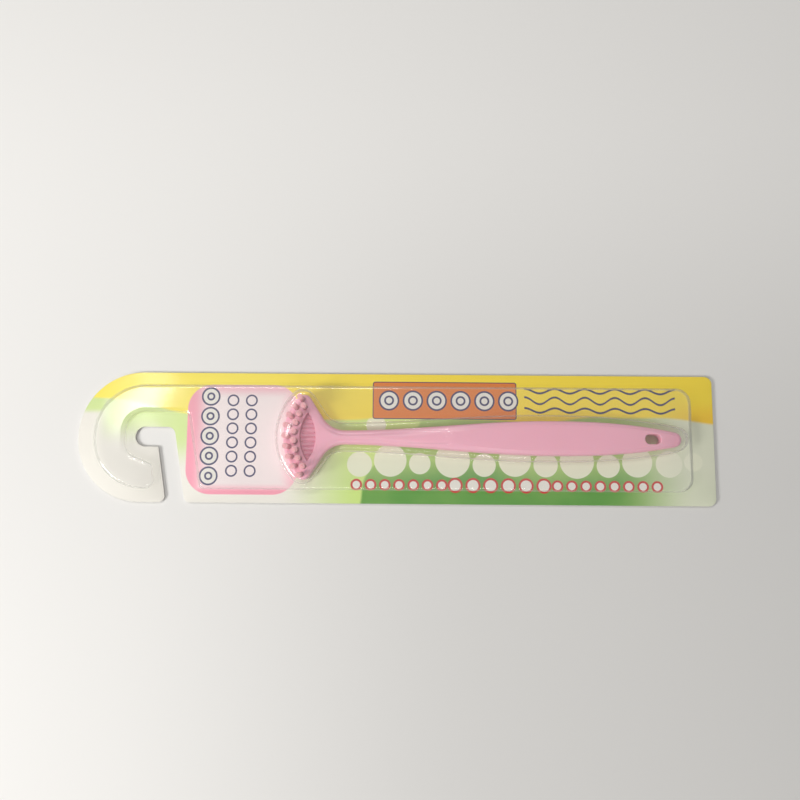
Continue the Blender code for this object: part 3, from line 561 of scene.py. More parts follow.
class Shape:
    """Points and polygons of a piece while it is put together, each kept as whole arrays."""

    def __init__(self):
        self.blocks = []
        self.polygons = []
        self.count = 0

    def points(self, places):
        """Adds points, the last axis of the array being x, y and z, and returns their numbers."""
        flat = np.asarray(places, float).reshape(-1, 3)
        numbers = self.count + np.arange(len(flat))
        self.blocks.append(flat)
        self.count += len(flat)
        return numbers.reshape(np.shape(places)[:-1])

    def faces(self, corners):
        """Adds polygons, the last axis of the array being their corners."""
        self.polygons.append(np.asarray(corners).reshape(-1, np.shape(corners)[-1]))

    def tube(self, rings, lids=False):
        """Adds closed rings of points with quads from each ring to the next, and returns their numbers.

        With lids, triangles close the first ring and the last, which are level then.
        """
        numbers = self.points(rings)
        low, high = numbers[..., :-1, :], numbers[..., 1:, :]
        self.faces(np.stack((low, np.roll(low, -1, axis=-1), np.roll(high, -1, axis=-1), high), axis=-1))
        if lids:
            self.faces(self.between(numbers[0])[:, ::-1])
            self.faces(self.between(numbers[-1]))
        return numbers

    def across(self, ring, inner, up=True):
        """Strips from each point of a mirrored ring to its mirror image, by way of inner points.

        inner takes the two ends and the shares of the way, and gives the strips' inner points. The ring's
        first point and the one half-way round are tips, closed with fans.
        """
        places = np.vstack(self.blocks)
        half = len(ring) // 2
        near, far = ring[1:half], ring[:half:-1]
        grid = np.column_stack((near, self.points(inner(places[near], places[far])), far))
        quads = np.stack((grid[:-1, :-1], grid[1:, :-1], grid[1:, 1:], grid[:-1, 1:]), axis=-1)
        front = np.column_stack((np.full(len(grid[0]) - 1, ring[0]), grid[0, :-1], grid[0, 1:]))
        tail = np.column_stack((np.full(len(grid[0]) - 1, ring[half]), grid[-1, 1:], grid[-1, :-1]))
        for corners in (quads, front, tail):
            self.faces(corners if up else corners[..., ::-1])

    def between(self, outer, inner=None):
        """Triangles over the flat region inside an outer ring, or between it and a ring inside it.

        They are the constrained Delaunay triangles of the rings, less those whose centre lies inside the
        inner ring: an odd number of its edges lies straight to the right of them.
        """
        places = np.vstack(self.blocks)
        used = outer if inner is None else np.concatenate((outer, inner))
        numbers = np.arange(len(used))
        after = np.concatenate([np.roll(part, -1) for part in np.split(numbers, [len(outer)])])
        flat = places[used, :2] / MM
        found = delaunay_2d_cdt([Vector(point) for point in flat.tolist()],
                                np.column_stack((numbers, after)).tolist(), [], 1, 1e-6)
        origin = np.array([given[0] for given in found[3]])
        corners = origin[np.array(found[2])]
        if inner is not None:
            x, y = flat[corners].mean(axis=1).T[..., None]
            start, end = flat[len(outer):], flat[after[len(outer):]]
            crosses = (start[:, 1] > y) != (end[:, 1] > y)
            run, rise = (end - start).T
            slope = run / np.where(rise == 0, 1.0, rise)
            right = x < start[:, 0] + slope * (y - start[:, 1])
            corners = corners[(crosses & right).sum(axis=1) % 2 == 0]
        first, second = (flat[corners[:, index]] - flat[corners[:, 0]] for index in (1, 2))
        turned = first[:, 0] * second[:, 1] < first[:, 1] * second[:, 0]
        corners[turned] = corners[turned][:, ::-1]
        return used[corners]

    def mesh(self, name):
        """The mesh of what was added."""
        sizes = np.concatenate([np.full(len(block), block.shape[1]) for block in self.polygons])
        mesh = bpy.data.meshes.new(name)
        mesh.vertices.add(self.count)
        mesh.vertices.foreach_set("co", np.vstack(self.blocks).astype(np.float32).ravel())
        mesh.loops.add(int(sizes.sum()))
        mesh.loops.foreach_set("vertex_index", np.concatenate([block.ravel() for block in self.polygons]))
        mesh.polygons.add(len(sizes))
        mesh.polygons.foreach_set("loop_start", np.cumsum(sizes) - sizes)
        mesh.update(calc_edges=True)
        return mesh


def shaded(mesh):
    """Shades a mesh smooth except along its sharp edges."""
    mesh.shade_smooth()
    mesh.set_sharp_from_angle(angle=SMOOTH_ANGLE)
    return mesh


def finished(mesh, finish):
    """Gives a mesh one material and takes away any other."""
    mesh.materials.clear()
    mesh.materials.append(finish)
    return mesh


def placed(name, data):
    """A new object of a mesh, a lamp or a camera in the scene."""
    thing = bpy.data.objects.new(name, data)
    bpy.context.scene.collection.objects.link(thing)
    return thing


def settled(thing):
    """The mesh of an object with its modifiers applied. The object is removed."""
    bpy.context.view_layer.update()
    evaluated = thing.evaluated_get(bpy.context.evaluated_depsgraph_get())
    mesh = bpy.data.meshes.new_from_object(evaluated)
    mesh.name = thing.name
    bpy.data.objects.remove(thing, do_unlink=True)
    return mesh


def carried(piece, body, slot, *nodes):
    """Makes a piece ride on a body in place of CAD nodes."""
    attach(piece, body)
    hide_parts(*nodes)


def smooth_step(amount):
    """Rises from 0 to 1 with level ends while amount goes from 0 to 1."""
    amount = np.clip(amount, 0.0, 1.0)
    return amount * amount * (3 - 2 * amount)


def lesser(first, second, softness):
    """The lesser of two heights, with the edge where they meet rounded off over softness."""
    lean = np.clip(0.5 + 0.5 * (second - first) / softness, 0.0, 1.0)
    return second + (first - second) * lean - softness * lean * (1 - lean)


def arc(centre, radius, start, end, steps):
    """Points on an arc from angle start to angle end, both ends among them."""
    angles = np.linspace(start, end, steps + 1)
    return np.column_stack((centre[0] + radius * np.cos(angles), centre[1] + radius * np.sin(angles)))


def rounded_outline(corners, inset=0.0):
    """The outline of a polygon with round corners, counter-clockwise, as rows of x and y.

    A corner is x, y and radius. Each side moves inwards by inset, a corner that juts out loses that much
    radius and one that goes in gains it, so outlines with other insets run alongside, point for point.
    Long sides are divided evenly.
    """
    given = np.array(corners)
    places, radii = given[:, :2], given[:, 2]
    along = np.roll(places, -1, axis=0) - places
    along /= np.linalg.norm(along, axis=1)[:, None]
    before = np.roll(along, 1, axis=0)
    turn = np.arctan2(before[:, 0] * along[:, 1] - before[:, 1] * along[:, 0], (before * along).sum(axis=1))
    inward = np.column_stack((-along[:, 1], along[:, 0]))
    bisector = inward + np.roll(inward, 1, axis=0)
    moved = places + inset * bisector / (1 + np.cos(turn))[:, None]
    wanted = np.maximum(radii - inset * np.sign(turn), radii * (1 - FULL_ROUND))
    reach = wanted * np.tan(np.abs(turn) / 2)
    side = np.linalg.norm(np.roll(moved, -1, axis=0) - moved, axis=1)
    fits = np.minimum(1.0, FULL_ROUND * side / (reach + np.roll(reach, -1)))
    reach = reach * np.minimum(fits, np.roll(fits, 1))
    points, sides = [], []
    for index in range(len(moved)):
        steps = max(4, round(radii[index] * abs(turn[index]) / ARC_STEP))
        radius = reach[index] / math.tan(abs(turn[index]) / 2)
        normal = math.copysign(1.0, turn[index]) * np.array((-before[index, 1], before[index, 0]))
        centre = moved[index] - reach[index] * before[index] + radius * normal
        start = math.atan2(-normal[1], -normal[0])
        points.append(arc(centre, radius, start, start + turn[index], steps))
        given_side = np.linalg.norm(places[(index + 1) % len(places)] - places[index])
        sides += [1] * steps + [max(1, round(given_side / OUTLINE_STEP))]
    outline = np.vstack(points)
    first = np.repeat(np.arange(len(outline)), sides)
    way = np.concatenate([np.arange(count) / count for count in sides])[:, None]
    return outline[first] * (1 - way) + outline[(first + 1) % len(outline)] * way


def raised(outline, height):
    """An outline of x and y at a height."""
    return np.column_stack((outline, np.broadcast_to(height, len(outline))))


def card_corners(pack):
    """Corners of the card with their radii: a long board, round at its hook, with a slot open to one side."""
    left, right, half = -pack.card_length / 2, pack.card_length / 2, pack.card_width / 2
    slot_half = pack.slot_height / 2
    slot_end = left + pack.hook_band
    lip_top = slot_end + pack.lip_length
    lip_foot = lip_top + LIP_SLANT
    mouth_top = lip_top + pack.mouth_width - MOUTH_TOP_LESS
    mouth_foot = lip_foot + pack.mouth_width
    return (
        (mouth_foot, -half, 2.0 * MM),
        (right, -half, pack.card_corner),
        (right, half, pack.card_corner),
        (left, half, half),
        (left, -half, half),
        (lip_foot, -half, 2.2 * MM),
        (lip_top, -slot_half, 0.6 * MM),
        (slot_end, -slot_half, slot_half),
        (slot_end, slot_half, slot_half),
        (mouth_top, slot_half, 2.8 * MM),
    )


def platform_corners(pack):
    """Corners of the platform's foot with their radii. It leaves a flange round the card and its slot."""
    corners = card_corners(pack)
    half = pack.card_width / 2 - pack.flange_side
    left = -pack.card_length / 2 + pack.flange_hook
    right = pack.card_length / 2 - pack.flange_tail
    slot_half = pack.slot_height / 2
    slot_end = corners[7][0] - LANDS["slot_end"]
    tail_radius, lip_radius = 5.2 * MM, 3.0 * MM
    return (
        (corners[0][0] + LANDS["mouth"], -half, 2.0 * MM),
        (right, -half, tail_radius),
        (right, half, tail_radius),
        (left, half, half),
        (left, -half, half),
        (corners[5][0] - LANDS["lip_foot"], -half, lip_radius),
        (corners[6][0] - LANDS["lip_top"], -slot_half - LANDS["lip_slot"], lip_radius),
        (slot_end, -slot_half - LANDS["slot_foot"], 5.0 * MM),
        (slot_end, slot_half + LANDS["slot_top"], 6.8 * MM),
        (corners[9][0] + LANDS["mouth"], slot_half + LANDS["slot_top"], 2.2 * MM),
    )


def drafted_wall(width, height, foot_radius, top_radius, steps):
    """Inset and rise along a wall with a round foot and a round shoulder, from its foot up.

    The wall is an arc that turns up, a straight run and an arc that turns back level. Its slope is the
    angle at which these cover width and height: the solution of width sin + (radii - height) cos = radii.
    Sizes may be arrays with one value a station; the steps are the first axis of what comes back.
    """
    radii = foot_radius + top_radius
    spare = radii - height
    slope = np.arctan2(width, spare) - np.arccos(radii / np.hypot(width, spare))
    bend = np.linspace(0.0, 1.0, steps + 1).reshape((-1,) + (1,) * np.ndim(slope)) * slope
    foot = foot_radius * np.sin(bend), foot_radius * (1 - np.cos(bend))
    top = width - top_radius * np.sin(bend[::-1]), height - top_radius * (1 - np.cos(bend[::-1]))
    return np.concatenate((foot[0], top[0])), np.concatenate((foot[1], top[1]))


# The brush's outline and sections

WIDEST = 0.62
TAPER = 2.5
STEPS = {"front": 56, "tip": 18, "flank": 26, "fillet": 26, "grip": 170, "tail": 22}
ACROSS = 150
EDGE_DROPS = (0.10 * MM, 0.50 * MM, 0.16 * MM, 0.16 * MM)
LOW_RADII = (0.8 * MM, 1.8 * MM, 1.7 * MM, 1.2 * MM)
HIGH_RADII = (0.7 * MM, 1.6 * MM, 1.05 * MM, 0.9 * MM)
CROWN_POWERS = (7.0, 2.0, 2.6, 2.6)
CROWN_UNDER, CROWN_SWELL, CROWN_FADE = 0.03 * MM, 0.60 * MM, 1.2 * MM
FACET_START, FACET_GROWTH, FACET_SOFTNESS = 0.44, 0.42, 0.07 * MM
OPENING_TOP = 1.0 * MM
BASE_ACROSS, LID_ACROSS = 20, 4
RIM_FLARE_ANGLE = math.radians(80.0)


def tail_end(brush):
    """Where the grip's side runs into the round tail without a kink, and how steep the side is there."""
    start, tip = BRUSH_LOW.x + brush.head_length, BRUSH_LOW.x + brush.brush_length
    narrowing = (brush.grip_half_width - brush.tail_half_width) * TAPER / (1 - WIDEST)
    slope = narrowing / (tip - brush.tail_half_width - start)
    return tip - brush.tail_half_width * (math.hypot(1, slope) - slope), slope


def grip_shares(brush, x):
    """How far the neck has swollen to the grip at x, and how much of the grip is left before the tail.

    The first rises from 0 to 1 with level ends up to the widest place. The second falls from 1 there to
    0 at the tail, slowly at first, as one less a power of the way.
    """
    start = BRUSH_LOW.x + brush.head_length
    way = (x - start) / (tail_end(brush)[0] - start)
    past = np.clip((way - WIDEST) / (1 - WIDEST), 0.0, 1.0)
    return smooth_step(way / WIDEST), 1 - past**TAPER


def along_brush(brush, x, head, neck, grip, tail):
    """A size that runs from its head value through neck and grip to its tail value."""
    rise, left = grip_shares(brush, x)
    front = head + (neck - head) * smooth_step((x - BRUSH_LOW.x) / brush.head_length)
    return np.where(left < 1, tail + (grip - tail) * left, front + (grip - front) * rise)


def brush_top(brush, x):
    """Height of the brush's highest line at x."""
    thickness = along_brush(
        brush, x, brush.head_thickness, brush.neck_thickness, brush.grip_thickness, brush.tail_thickness)
    return BRUSH_LOW.z + thickness


def brush_side(brush):
    """One side of the brush from the front of the head to the tail: points, and normals that point out.

    The front is an arc, which runs into a round tip. A straight flank runs from the tip to the fillet at
    the neck, and touches both. The grip swells and narrows by grip_shares, and the tail is round.
    """
    front, neck = BRUSH_LOW.x, BRUSH_LOW.x + brush.head_length
    end, slope = tail_end(brush)
    tip_y = brush.head_half_span - brush.head_tip
    middle = np.array((front + brush.head_arc, 0.0))
    tip = np.array((middle[0] - math.sqrt((brush.head_arc - brush.head_tip) ** 2 - tip_y**2), tip_y))
    fillet = np.array((neck, brush.neck_half_width + brush.neck_fillet))
    between = fillet - tip
    lean = math.asin((brush.head_tip + brush.neck_fillet) / np.linalg.norm(between))
    flank = math.atan2(between[1], between[0]) - lean
    tip_start = math.atan2(tip[1] - middle[1], tip[0] - middle[0])
    grip = np.linspace(neck, end, STEPS["grip"] + 1)
    half_width = along_brush(brush, grip, brush.neck_half_width, brush.neck_half_width,
                             brush.grip_half_width, brush.tail_half_width)
    round_tip = arc(tip, brush.head_tip, tip_start, flank + QUARTER, STEPS["tip"])
    round_neck = arc(fillet, brush.neck_fillet, flank - QUARTER, -QUARTER, STEPS["fillet"])
    way = np.linspace(0.0, 1.0, STEPS["flank"] + 1)[1:-1, None]
    tail = (end - slope * brush.tail_half_width, 0.0)
    tail_radius = brush.tail_half_width * math.hypot(1, slope)
    points = np.vstack((
        arc(middle, brush.head_arc, math.pi, tip_start, STEPS["front"]),
        round_tip[1:],
        round_tip[-1] * (1 - way) + round_neck[0] * way,
        round_neck,
        np.column_stack((grip, half_width))[1:],
        arc(tail, tail_radius, QUARTER - math.atan(slope), 0.0, STEPS["tail"])[1:],
    ))
    way = np.concatenate(([0.0], np.cumsum(np.linalg.norm(np.diff(points, axis=0), axis=1))))
    tangent = np.gradient(points, way, axis=0)
    tangent[0], tangent[-1] = (0.0, 1.0), (0.0, -1.0)
    tangent /= np.linalg.norm(tangent, axis=1)[:, None]
    return points, np.column_stack((-tangent[:, 1], tangent[:, 0]))


def mirrored(side, heights):
    """Closed rings from one side's points: the mirror image first, then the side itself on the way back.

    side has x and y on its last axis, heights the same shape without it. The two ends lie on y = 0.
    """
    near = np.concatenate((side * (1.0, -1.0), heights[..., None]), axis=-1)
    near[..., 0, 1] = near[..., -1, 1] = 0.0
    far = near[..., -2:0:-1, :] * (1.0, -1.0, 1.0)
    return np.concatenate((near, far), axis=-2)


def brush_rings(brush):
    """Rings from the brush's underside up its round edges to where its top begins.

    Both edges are quarter rounds. The upper one ends a drop below the brush's highest line.
    """
    points, normals = brush_side(brush)
    x = points[:, 0]
    top = brush_top(brush, x)
    drop, low, high = (along_brush(brush, x, *sizes) for sizes in (EDGE_DROPS, LOW_RADII, HIGH_RADII))
    bend = np.linspace(0.0, QUARTER, ROUND_STEPS + 1)[:, None]
    inset = np.concatenate((low * (1 - np.sin(bend)), high * (1 - np.sin(bend[::-1]))))
    height = np.concatenate((
        BRUSH_LOW.z + low * (1 - np.cos(bend)),
        top - drop - high * (1 - np.cos(bend[::-1])),
    ))
    return mirrored(points - normals * inset[..., None], height)


def brush_roof(brush):
    """The brush's top: a low crown, cut off by the grip's flat facet.

    The facet begins where the crown grows higher than it. The crown is broad on the head and round on the
    neck.
    """
    def height_at(x, half, shares, edge):
        rise, _ = grip_shares(brush, x)
        top = brush_top(brush, x)
        over = -CROWN_UNDER + CROWN_SWELL * smooth_step((rise - FACET_START) / FACET_GROWTH)
        power = along_brush(brush, x, *CROWN_POWERS)
        fade = smooth_step(half / CROWN_FADE)
        crown = edge + (top + over - edge) * (1 - np.abs(shares) ** power) * fade
        return lesser(crown, top, FACET_SOFTNESS)

    return roof(ACROSS, height_at)


def roof(count, height_at):
    """A function that gives the inner points of strips that run straight across from side to side.

    height_at gives their height from x, the strip's half width, the shares of it and its ends' height.
    """
    shares = np.linspace(-1.0, 1.0, count + 1)[1:-1]

    def inner(near, far):
        x, half = near[:, :1], far[:, 1:2]
        height = height_at(x, half, shares, near[:, 2:])
        return np.stack((np.broadcast_to(x, height.shape), half * shares, height), axis=-1)

    return inner


def flat_strips(count):
    """A function that gives evenly spaced inner points on straight strips."""
    shares = np.linspace(0.0, 1.0, count + 1)[1:-1, None]
    return lambda near, far: near[:, None] * (1 - shares) + far[:, None] * shares


def well_section(floor_radius, rim_radius):
    """Inset and height of a well's wall: steps from its floor, and steps to its rim.

    The foot is a quarter round, and the rim flares outwards as an arc that ends nearly level.
    """
    bend = np.linspace(0.0, QUARTER, ROUND_STEPS + 1)
    flare = np.linspace(0.0, RIM_FLARE_ANGLE, ROUND_STEPS + 1)
    foot = np.column_stack((floor_radius * (1 - np.sin(bend)), floor_radius * (1 - np.cos(bend))))
    rim = np.column_stack((-rim_radius * (1 - np.cos(flare)), rim_radius * (np.sin(flare) - 1)))
    return foot, rim


LENS_FOOT, LENS_RIM, LENS_FLARE = 0.3 * MM, 0.28 * MM, 1.8
LENS_STEPS, LENS_ACROSS = 180, 22
RIB_SPREAD, RIB_END, RIB_FULL_WIDTH = 0.24 * MM, 0.35 * MM, 1.6 * MM


def lens_cutter(brush):
    """The lens-shaped recess in the head, with low round ribs across its floor.

    Both long sides are arcs that keep their middles while the inset changes, and the rim flares wider on the
    side of the neck. A rib is a ridge that falls off as a bell on both sides of its line, and runs out
    before the wall.
    """
    half_length, half_width = brush.lens_half_length, brush.lens_half_width
    radius = (half_length**2 + half_width**2) / (2 * half_width)
    middle = BRUSH_LOW.x + brush.lens_middle
    floor = brush_top(brush, BRUSH_LOW.x) - brush.lens_depth
    foot, rim = well_section(LENS_FOOT, LENS_RIM)

    def ring(inset, height, follows):
        reach = math.acos((radius - half_width) / (radius - inset))
        side = arc((0.0, half_width - radius), radius - inset, QUARTER + reach, QUARTER - reach, LENS_STEPS)
        points = mirrored(side, np.full(len(side), height))
        turned = np.column_stack((middle - points[:, 1], points[:, 0], points[:, 2]))
        if follows:
            swell = np.clip(1 - (turned[:, 1] / half_length) ** 2, 0.0, 1.0)
            turned[:, 0] += np.where(turned[:, 0] > middle, -inset * LENS_FLARE * swell, 0.0)
            turned[:, 2] += brush_top(brush, turned[:, 0])
        return turned

    rings = [ring(inset, floor + height, False) for inset, height in foot]
    rings += [ring(inset, height, True) for inset, height in rim]
    rings.append(ring(rim[-1, 0], OPENING_TOP, True))
    shape = Shape()
    numbers = shape.tube(rings)

    def ribbed(near, far):
        inner = flat_strips(LENS_ACROSS)(near, far)
        nearest = inner[..., 1] - brush.rib_pitch * np.round(inner[..., 1] / brush.rib_pitch)
        width = np.abs(far[:, :1] - near[:, :1])
        depth = np.minimum(np.abs(inner[..., 0] - near[:, :1]), np.abs(inner[..., 0] - far[:, :1]))
        ends = smooth_step(depth / RIB_END) * smooth_step(width / RIB_FULL_WIDTH)
        inner[..., 2] += brush.rib_height * np.exp(-((nearest / RIB_SPREAD) ** 2)) * ends
        return inner

    shape.across(numbers[0], ribbed, up=False)
    shape.across(numbers[-1], flat_strips(LID_ACROSS))
    return shape


def pit_cutter(brush, outline_at, floor, rim_radius):
    """A round-rimmed pit or hole that follows the brush's top, from its outline at an inset."""
    _, rim = well_section(0.0, rim_radius)
    shape = Shape()
    rings = [raised(outline_at(0.0), floor)]
    for inset, height in rim:
        outline = outline_at(inset)
        rings.append(raised(outline, brush_top(brush, outline[:, 0]) + height))
    rings.append(rings[-1] + (0.0, 0.0, OPENING_TOP))
    shape.tube(rings, lids=True)
    return shape


def tail_slot(brush):
    """A function that gives the outline of the slot through the tail at an inset."""
    from_tail, half_length, half_width, steps = 10.0 * MM, 2.8 * MM, 1.7 * MM, 20
    middle = BRUSH_LOW.x + brush.brush_length - from_tail

    def outline_at(inset):
        reach = half_width - inset
        right = arc((middle + half_length - half_width, 0.0), reach, -QUARTER, QUARTER, steps)
        left = arc((middle - half_length + half_width, 0.0), reach, QUARTER, 3 * QUARTER, steps)
        return np.vstack((right, left))

    return outline_at


OUTER_LEAN, INNER_LEAN = math.radians(9.0), math.radians(2.0)
PIT_PROUD, PIT_DEPTH, PIT_RIM, PIT_STEPS = 0.04 * MM, 1.0 * MM, 0.08 * MM, 28
SLOT_RIM = 0.3 * MM


def tuft_places(brush, bristles):
    """The place of each tuft on the head's top, with its rotation: outer row first.

    Both rows are arcs round the middle of the head's front arc. The inner row's tufts stand between the
    outer row's. A tuft leans away from that middle.
    """
    middle = BRUSH_LOW.x + brush.head_arc
    top = brush_top(brush, BRUSH_LOW.x)
    outer = brush.head_arc - bristles.outer_inset
    reach = math.asin((brush.head_half_span - bristles.end_margin) / outer)
    angles = np.linspace(reach, -reach, bristles.outer_count)
    rows = [(outer, angle, OUTER_LEAN) for angle in angles]
    inner = brush.head_arc - bristles.inner_inset
    rows += [(inner, angle, INNER_LEAN) for angle in (angles[1:] + angles[:-1]) / 2]
    places = []
    for radius, angle, lean in rows:
        place = Vector((middle - radius * math.cos(angle), radius * math.sin(angle), top))
        turn = Matrix.Rotation(math.pi - angle, 4, "Z") @ Matrix.Rotation(lean, 4, "Y")
        places.append(Matrix.Translation(place) @ turn)
    return places


def brush_mesh(brush, bristles):
    """The pink moulding with its recess, its slot and a pit for each tuft."""
    shape = Shape()
    numbers = shape.tube(brush_rings(brush))
    shape.across(numbers[0], flat_strips(BASE_ACROSS), up=False)
    shape.across(numbers[-1], brush_roof(brush))
    body = placed("brush", shape.mesh("brush"))
    cutters = [lens_cutter(brush), pit_cutter(brush, tail_slot(brush), BRUSH_LOW.z - MM, SLOT_RIM)]
    for place in tuft_places(brush, bristles):
        centre = place.translation
        radius = bristles.tuft_radius + PIT_PROUD
        cutters.append(pit_cutter(
            brush, lambda inset: arc(centre, radius - inset, 0.0, math.tau, PIT_STEPS)[:-1],
            centre.z - PIT_DEPTH, PIT_RIM))
    tools = [placed("tool", cutter.mesh("tool")) for cutter in cutters]
    for tool in tools:
        cut = body.modifiers.new("Cut", "BOOLEAN")
        cut.operation = "DIFFERENCE"
        cut.object = tool
    mesh = settled(body)
    for tool in tools:
        bpy.data.objects.remove(tool, do_unlink=True)
    return shaded(mesh)


def card_mesh(pack):
    """The board: its outline with a slightly crushed edge, front and back."""
    bend = np.linspace(0.0, QUARTER, 3)
    inset = CARD_EDGE * (1 - np.sin(bend))
    rise = CARD_EDGE * (1 - np.cos(bend))
    steps = list(zip(inset, rise)) + list(zip(inset[::-1], pack.card_thickness - rise[::-1]))
    shape = Shape()
    corners = card_corners(pack)
    shape.tube([raised(rounded_outline(corners, inset), height) for inset, height in steps], lids=True)
    return shaded(shape.mesh("card"))


CAVITY_GAPS = (2.6 * MM, 1.7 * MM, 2.9 * MM, 2.8 * MM, 2.1 * MM)
BEHIND_NECK = 39.0 * MM
HEAD_WALL, TRENCH_WALL = 2.6 * MM, 2.0 * MM
HEAD_ROUND, TRENCH_ROUND, CAVITY_FOOT = 2.2 * MM, 1.5 * MM, 0.35 * MM
CAVITY_ACROSS = 32
DIMPLE_START, DIMPLE_END, DIMPLE_HALF_WIDTH = 2.6 * MM, 18.6 * MM, 2.9 * MM
DIMPLE_SLOPE, DIMPLE_SIDE_SLOPE = 1.6 * MM, 1.3 * MM


def cavity_rings(pack, brush):
    """Rings of the cavity from the flat round its foot up its wall to its shoulder.

    The foot keeps its distance from the brush's outline. The shoulder's height follows the bristles and
    then falls to the trench over neck and grip.
    """
    points, normals = brush_side(brush)
    x = points[:, 0]
    neck = BRUSH_LOW.x + brush.head_length
    stations = (BRUSH_LOW.x, BRUSH_LOW.x + brush.head_length / 3, neck, neck + BEHIND_NECK,
                BRUSH_LOW.x + brush.brush_length)
    gap = np.interp(x, stations, CAVITY_GAPS)
    start = BRUSH_LOW.x + brush.lens_middle
    fall = smooth_step((x - start) / (neck - start))
    top = pack.dome_top + (pack.trench_top - pack.dome_top) * fall
    shoulder = HEAD_WALL + (TRENCH_WALL - HEAD_WALL) * fall
    rounding = HEAD_ROUND + (TRENCH_ROUND - HEAD_ROUND) * fall
    inset, rise = drafted_wall(shoulder, top - pack.platform_top, CAVITY_FOOT, rounding, ROUND_STEPS + 4)
    inset = np.vstack((np.full(len(x), -FLAT_RIM), inset))
    rise = np.vstack((np.zeros(len(x)), rise))
    side = points + normals * (gap - inset)[..., None]
    return mirrored(side, pack.platform_top + rise)


def cavity_roof(pack):
    """The cavity's top: a crown, with the dimple over the neck."""
    def height_at(x, half, shares, edge):
        crown = edge + pack.crown * half * (1 - shares**2)
        in_x = smooth_step((x - DIMPLE_START) / DIMPLE_SLOPE) * smooth_step((DIMPLE_END - x) / DIMPLE_SLOPE)
        in_y = smooth_step((DIMPLE_HALF_WIDTH - np.abs(half * shares)) / DIMPLE_SIDE_SLOPE)
        return crown - pack.dimple * in_x * in_y

    return roof(CAVITY_ACROSS, height_at)


PLATFORM_WALL, PLATFORM_FOOT, PLATFORM_SHOULDER = 1.3 * MM, 0.25 * MM, 1.3 * MM


def blister_mesh(pack, brush):
    """The clear sheet: flange, platform and cavity as one skin, which gets its wall inwards."""
    flange_top = pack.card_thickness + pack.seal_gap + pack.sheet
    shape = Shape()
    inset, rise = drafted_wall(PLATFORM_WALL, pack.platform_top - flange_top,
                               PLATFORM_FOOT, PLATFORM_SHOULDER, ROUND_STEPS + 2)
    inset = np.concatenate(([-FLAT_RIM], inset, [inset[-1] + FLAT_RIM]))
    rise = np.concatenate(([0.0], rise, [rise[-1]]))
    rings = [raised(rounded_outline(platform_corners(pack), step), flange_top + height)
             for step, height in zip(inset, rise)]
    platform = shape.tube(rings)
    edge = shape.points(raised(rounded_outline(card_corners(pack), -SKIN_PROUD), flange_top))
    cavity = shape.tube(cavity_rings(pack, brush))
    shape.faces(shape.between(edge, platform[0]))
    shape.faces(shape.between(platform[-1], cavity[0]))
    shape.across(cavity[-1], cavity_roof(pack))
    skin = placed("blister_skin", shape.mesh("blister_skin"))
    wall = skin.modifiers.new("Wall", "SOLIDIFY")
    wall.thickness = pack.sheet
    wall.offset = -1.0
    wall.use_even_offset = True
    return shaded(settled(skin))


STRAND_FOOT = 1.4 * MM
STRAND_HEIGHTS = (0.0, 0.3, 0.6, 0.95, 0.975, 0.992, 1.0)
STRAND_GIRTHS = (1.0, 1.0, 1.0, 1.05, 1.15, 1.08, 0.78, 0.2)
STRAND_SIDES = 6
STRAND_SHORTER, STRAND_SWAY, STRAND_BOW = 0.03, 0.05 * MM, 1.3


def strand_middles(bristles):
    """Where strands stand in a tuft: a grid of triangles inside the tuft's circle."""
    pitch = bristles.strand_pitch
    count = int(bristles.tuft_radius / pitch) + 2
    row, column = np.mgrid[-count:count + 1, -count:count + 1]
    places = np.stack((pitch * (column + row / 2), pitch * row * math.sqrt(0.75)), axis=-1).reshape(-1, 2)
    return places[np.hypot(*places.T) < bristles.tuft_radius - bristles.strand_radius]


def tuft_mesh(name, bristles, place, seed):
    """One tuft of round-tipped strands in its place.

    A strand is a ring of six points carried from its foot in the head along a line that leans outwards
    as a power of its height, with a small bend and length of its own; its last rings close in a round tip.
    """
    middles = strand_middles(bristles)
    chance = np.random.default_rng(seed)
    count = len(middles)
    reach = bristles.height * (1 + chance.uniform(-STRAND_SHORTER, 0.0, count))
    sway = chance.normal(0.0, STRAND_SWAY, (count, 2))
    turn = chance.uniform(0.0, math.tau, count)
    heights = np.array((-STRAND_FOOT / bristles.height, *STRAND_HEIGHTS))
    thick = bristles.strand_radius * np.array(STRAND_GIRTHS)
    way = np.clip(heights, 0.0, 1.0)[None, :, None]
    spread = middles[:, None] * (1 + bristles.splay * way**STRAND_BOW) + sway[:, None] * way**2
    angles = turn[:, None] + np.arange(STRAND_SIDES) * math.tau / STRAND_SIDES
    round_ring = np.stack((np.cos(angles), np.sin(angles)), axis=-1)
    flat = spread[:, :, None] + thick[:, None, None] * round_ring[:, None]
    tall = np.broadcast_to((reach[:, None] * heights)[:, :, None, None], flat.shape[:3] + (1,))
    places = np.concatenate((flat, tall), axis=-1)
    matrix = np.array(place)
    places = places @ matrix[:3, :3].T + matrix[:3, 3]
    shape = Shape()
    numbers = shape.tube(places)
    shape.faces(numbers[:, -1])
    shape.faces(numbers[:, 0, ::-1])
    return shaded(shape.mesh(name))


# Operators, and the lamps: place, width and height in metres, and power in watts

SEEN_SKY = 0.95
LAMPS = {
    "window": ((-0.50, -0.22, 0.40), 0.20, 0.20, 2.7),
    "ceiling": ((-0.20, 0.42, 0.80), 0.45, 0.06, 1.75),
    "glint": ((-0.430, 0.172, 1.14), 0.12, 0.06, 0.30),
    "strip": ((0.02, -0.45, 0.55), 0.25, 0.05, 0.55),
}


class CardOperator(bpy.types.Operator):
    """Makes the printed card"""

    bl_idname = "tongue_brush.card"
    bl_label = "Card"

    def execute(self, context):
        pack, _, _, colours, _ = settings()
        piece = placed("card_board", finished(card_mesh(pack), card_finish(colours)))
        carried(piece, "card", "printed_card", "backing_card")
        return {"FINISHED"}


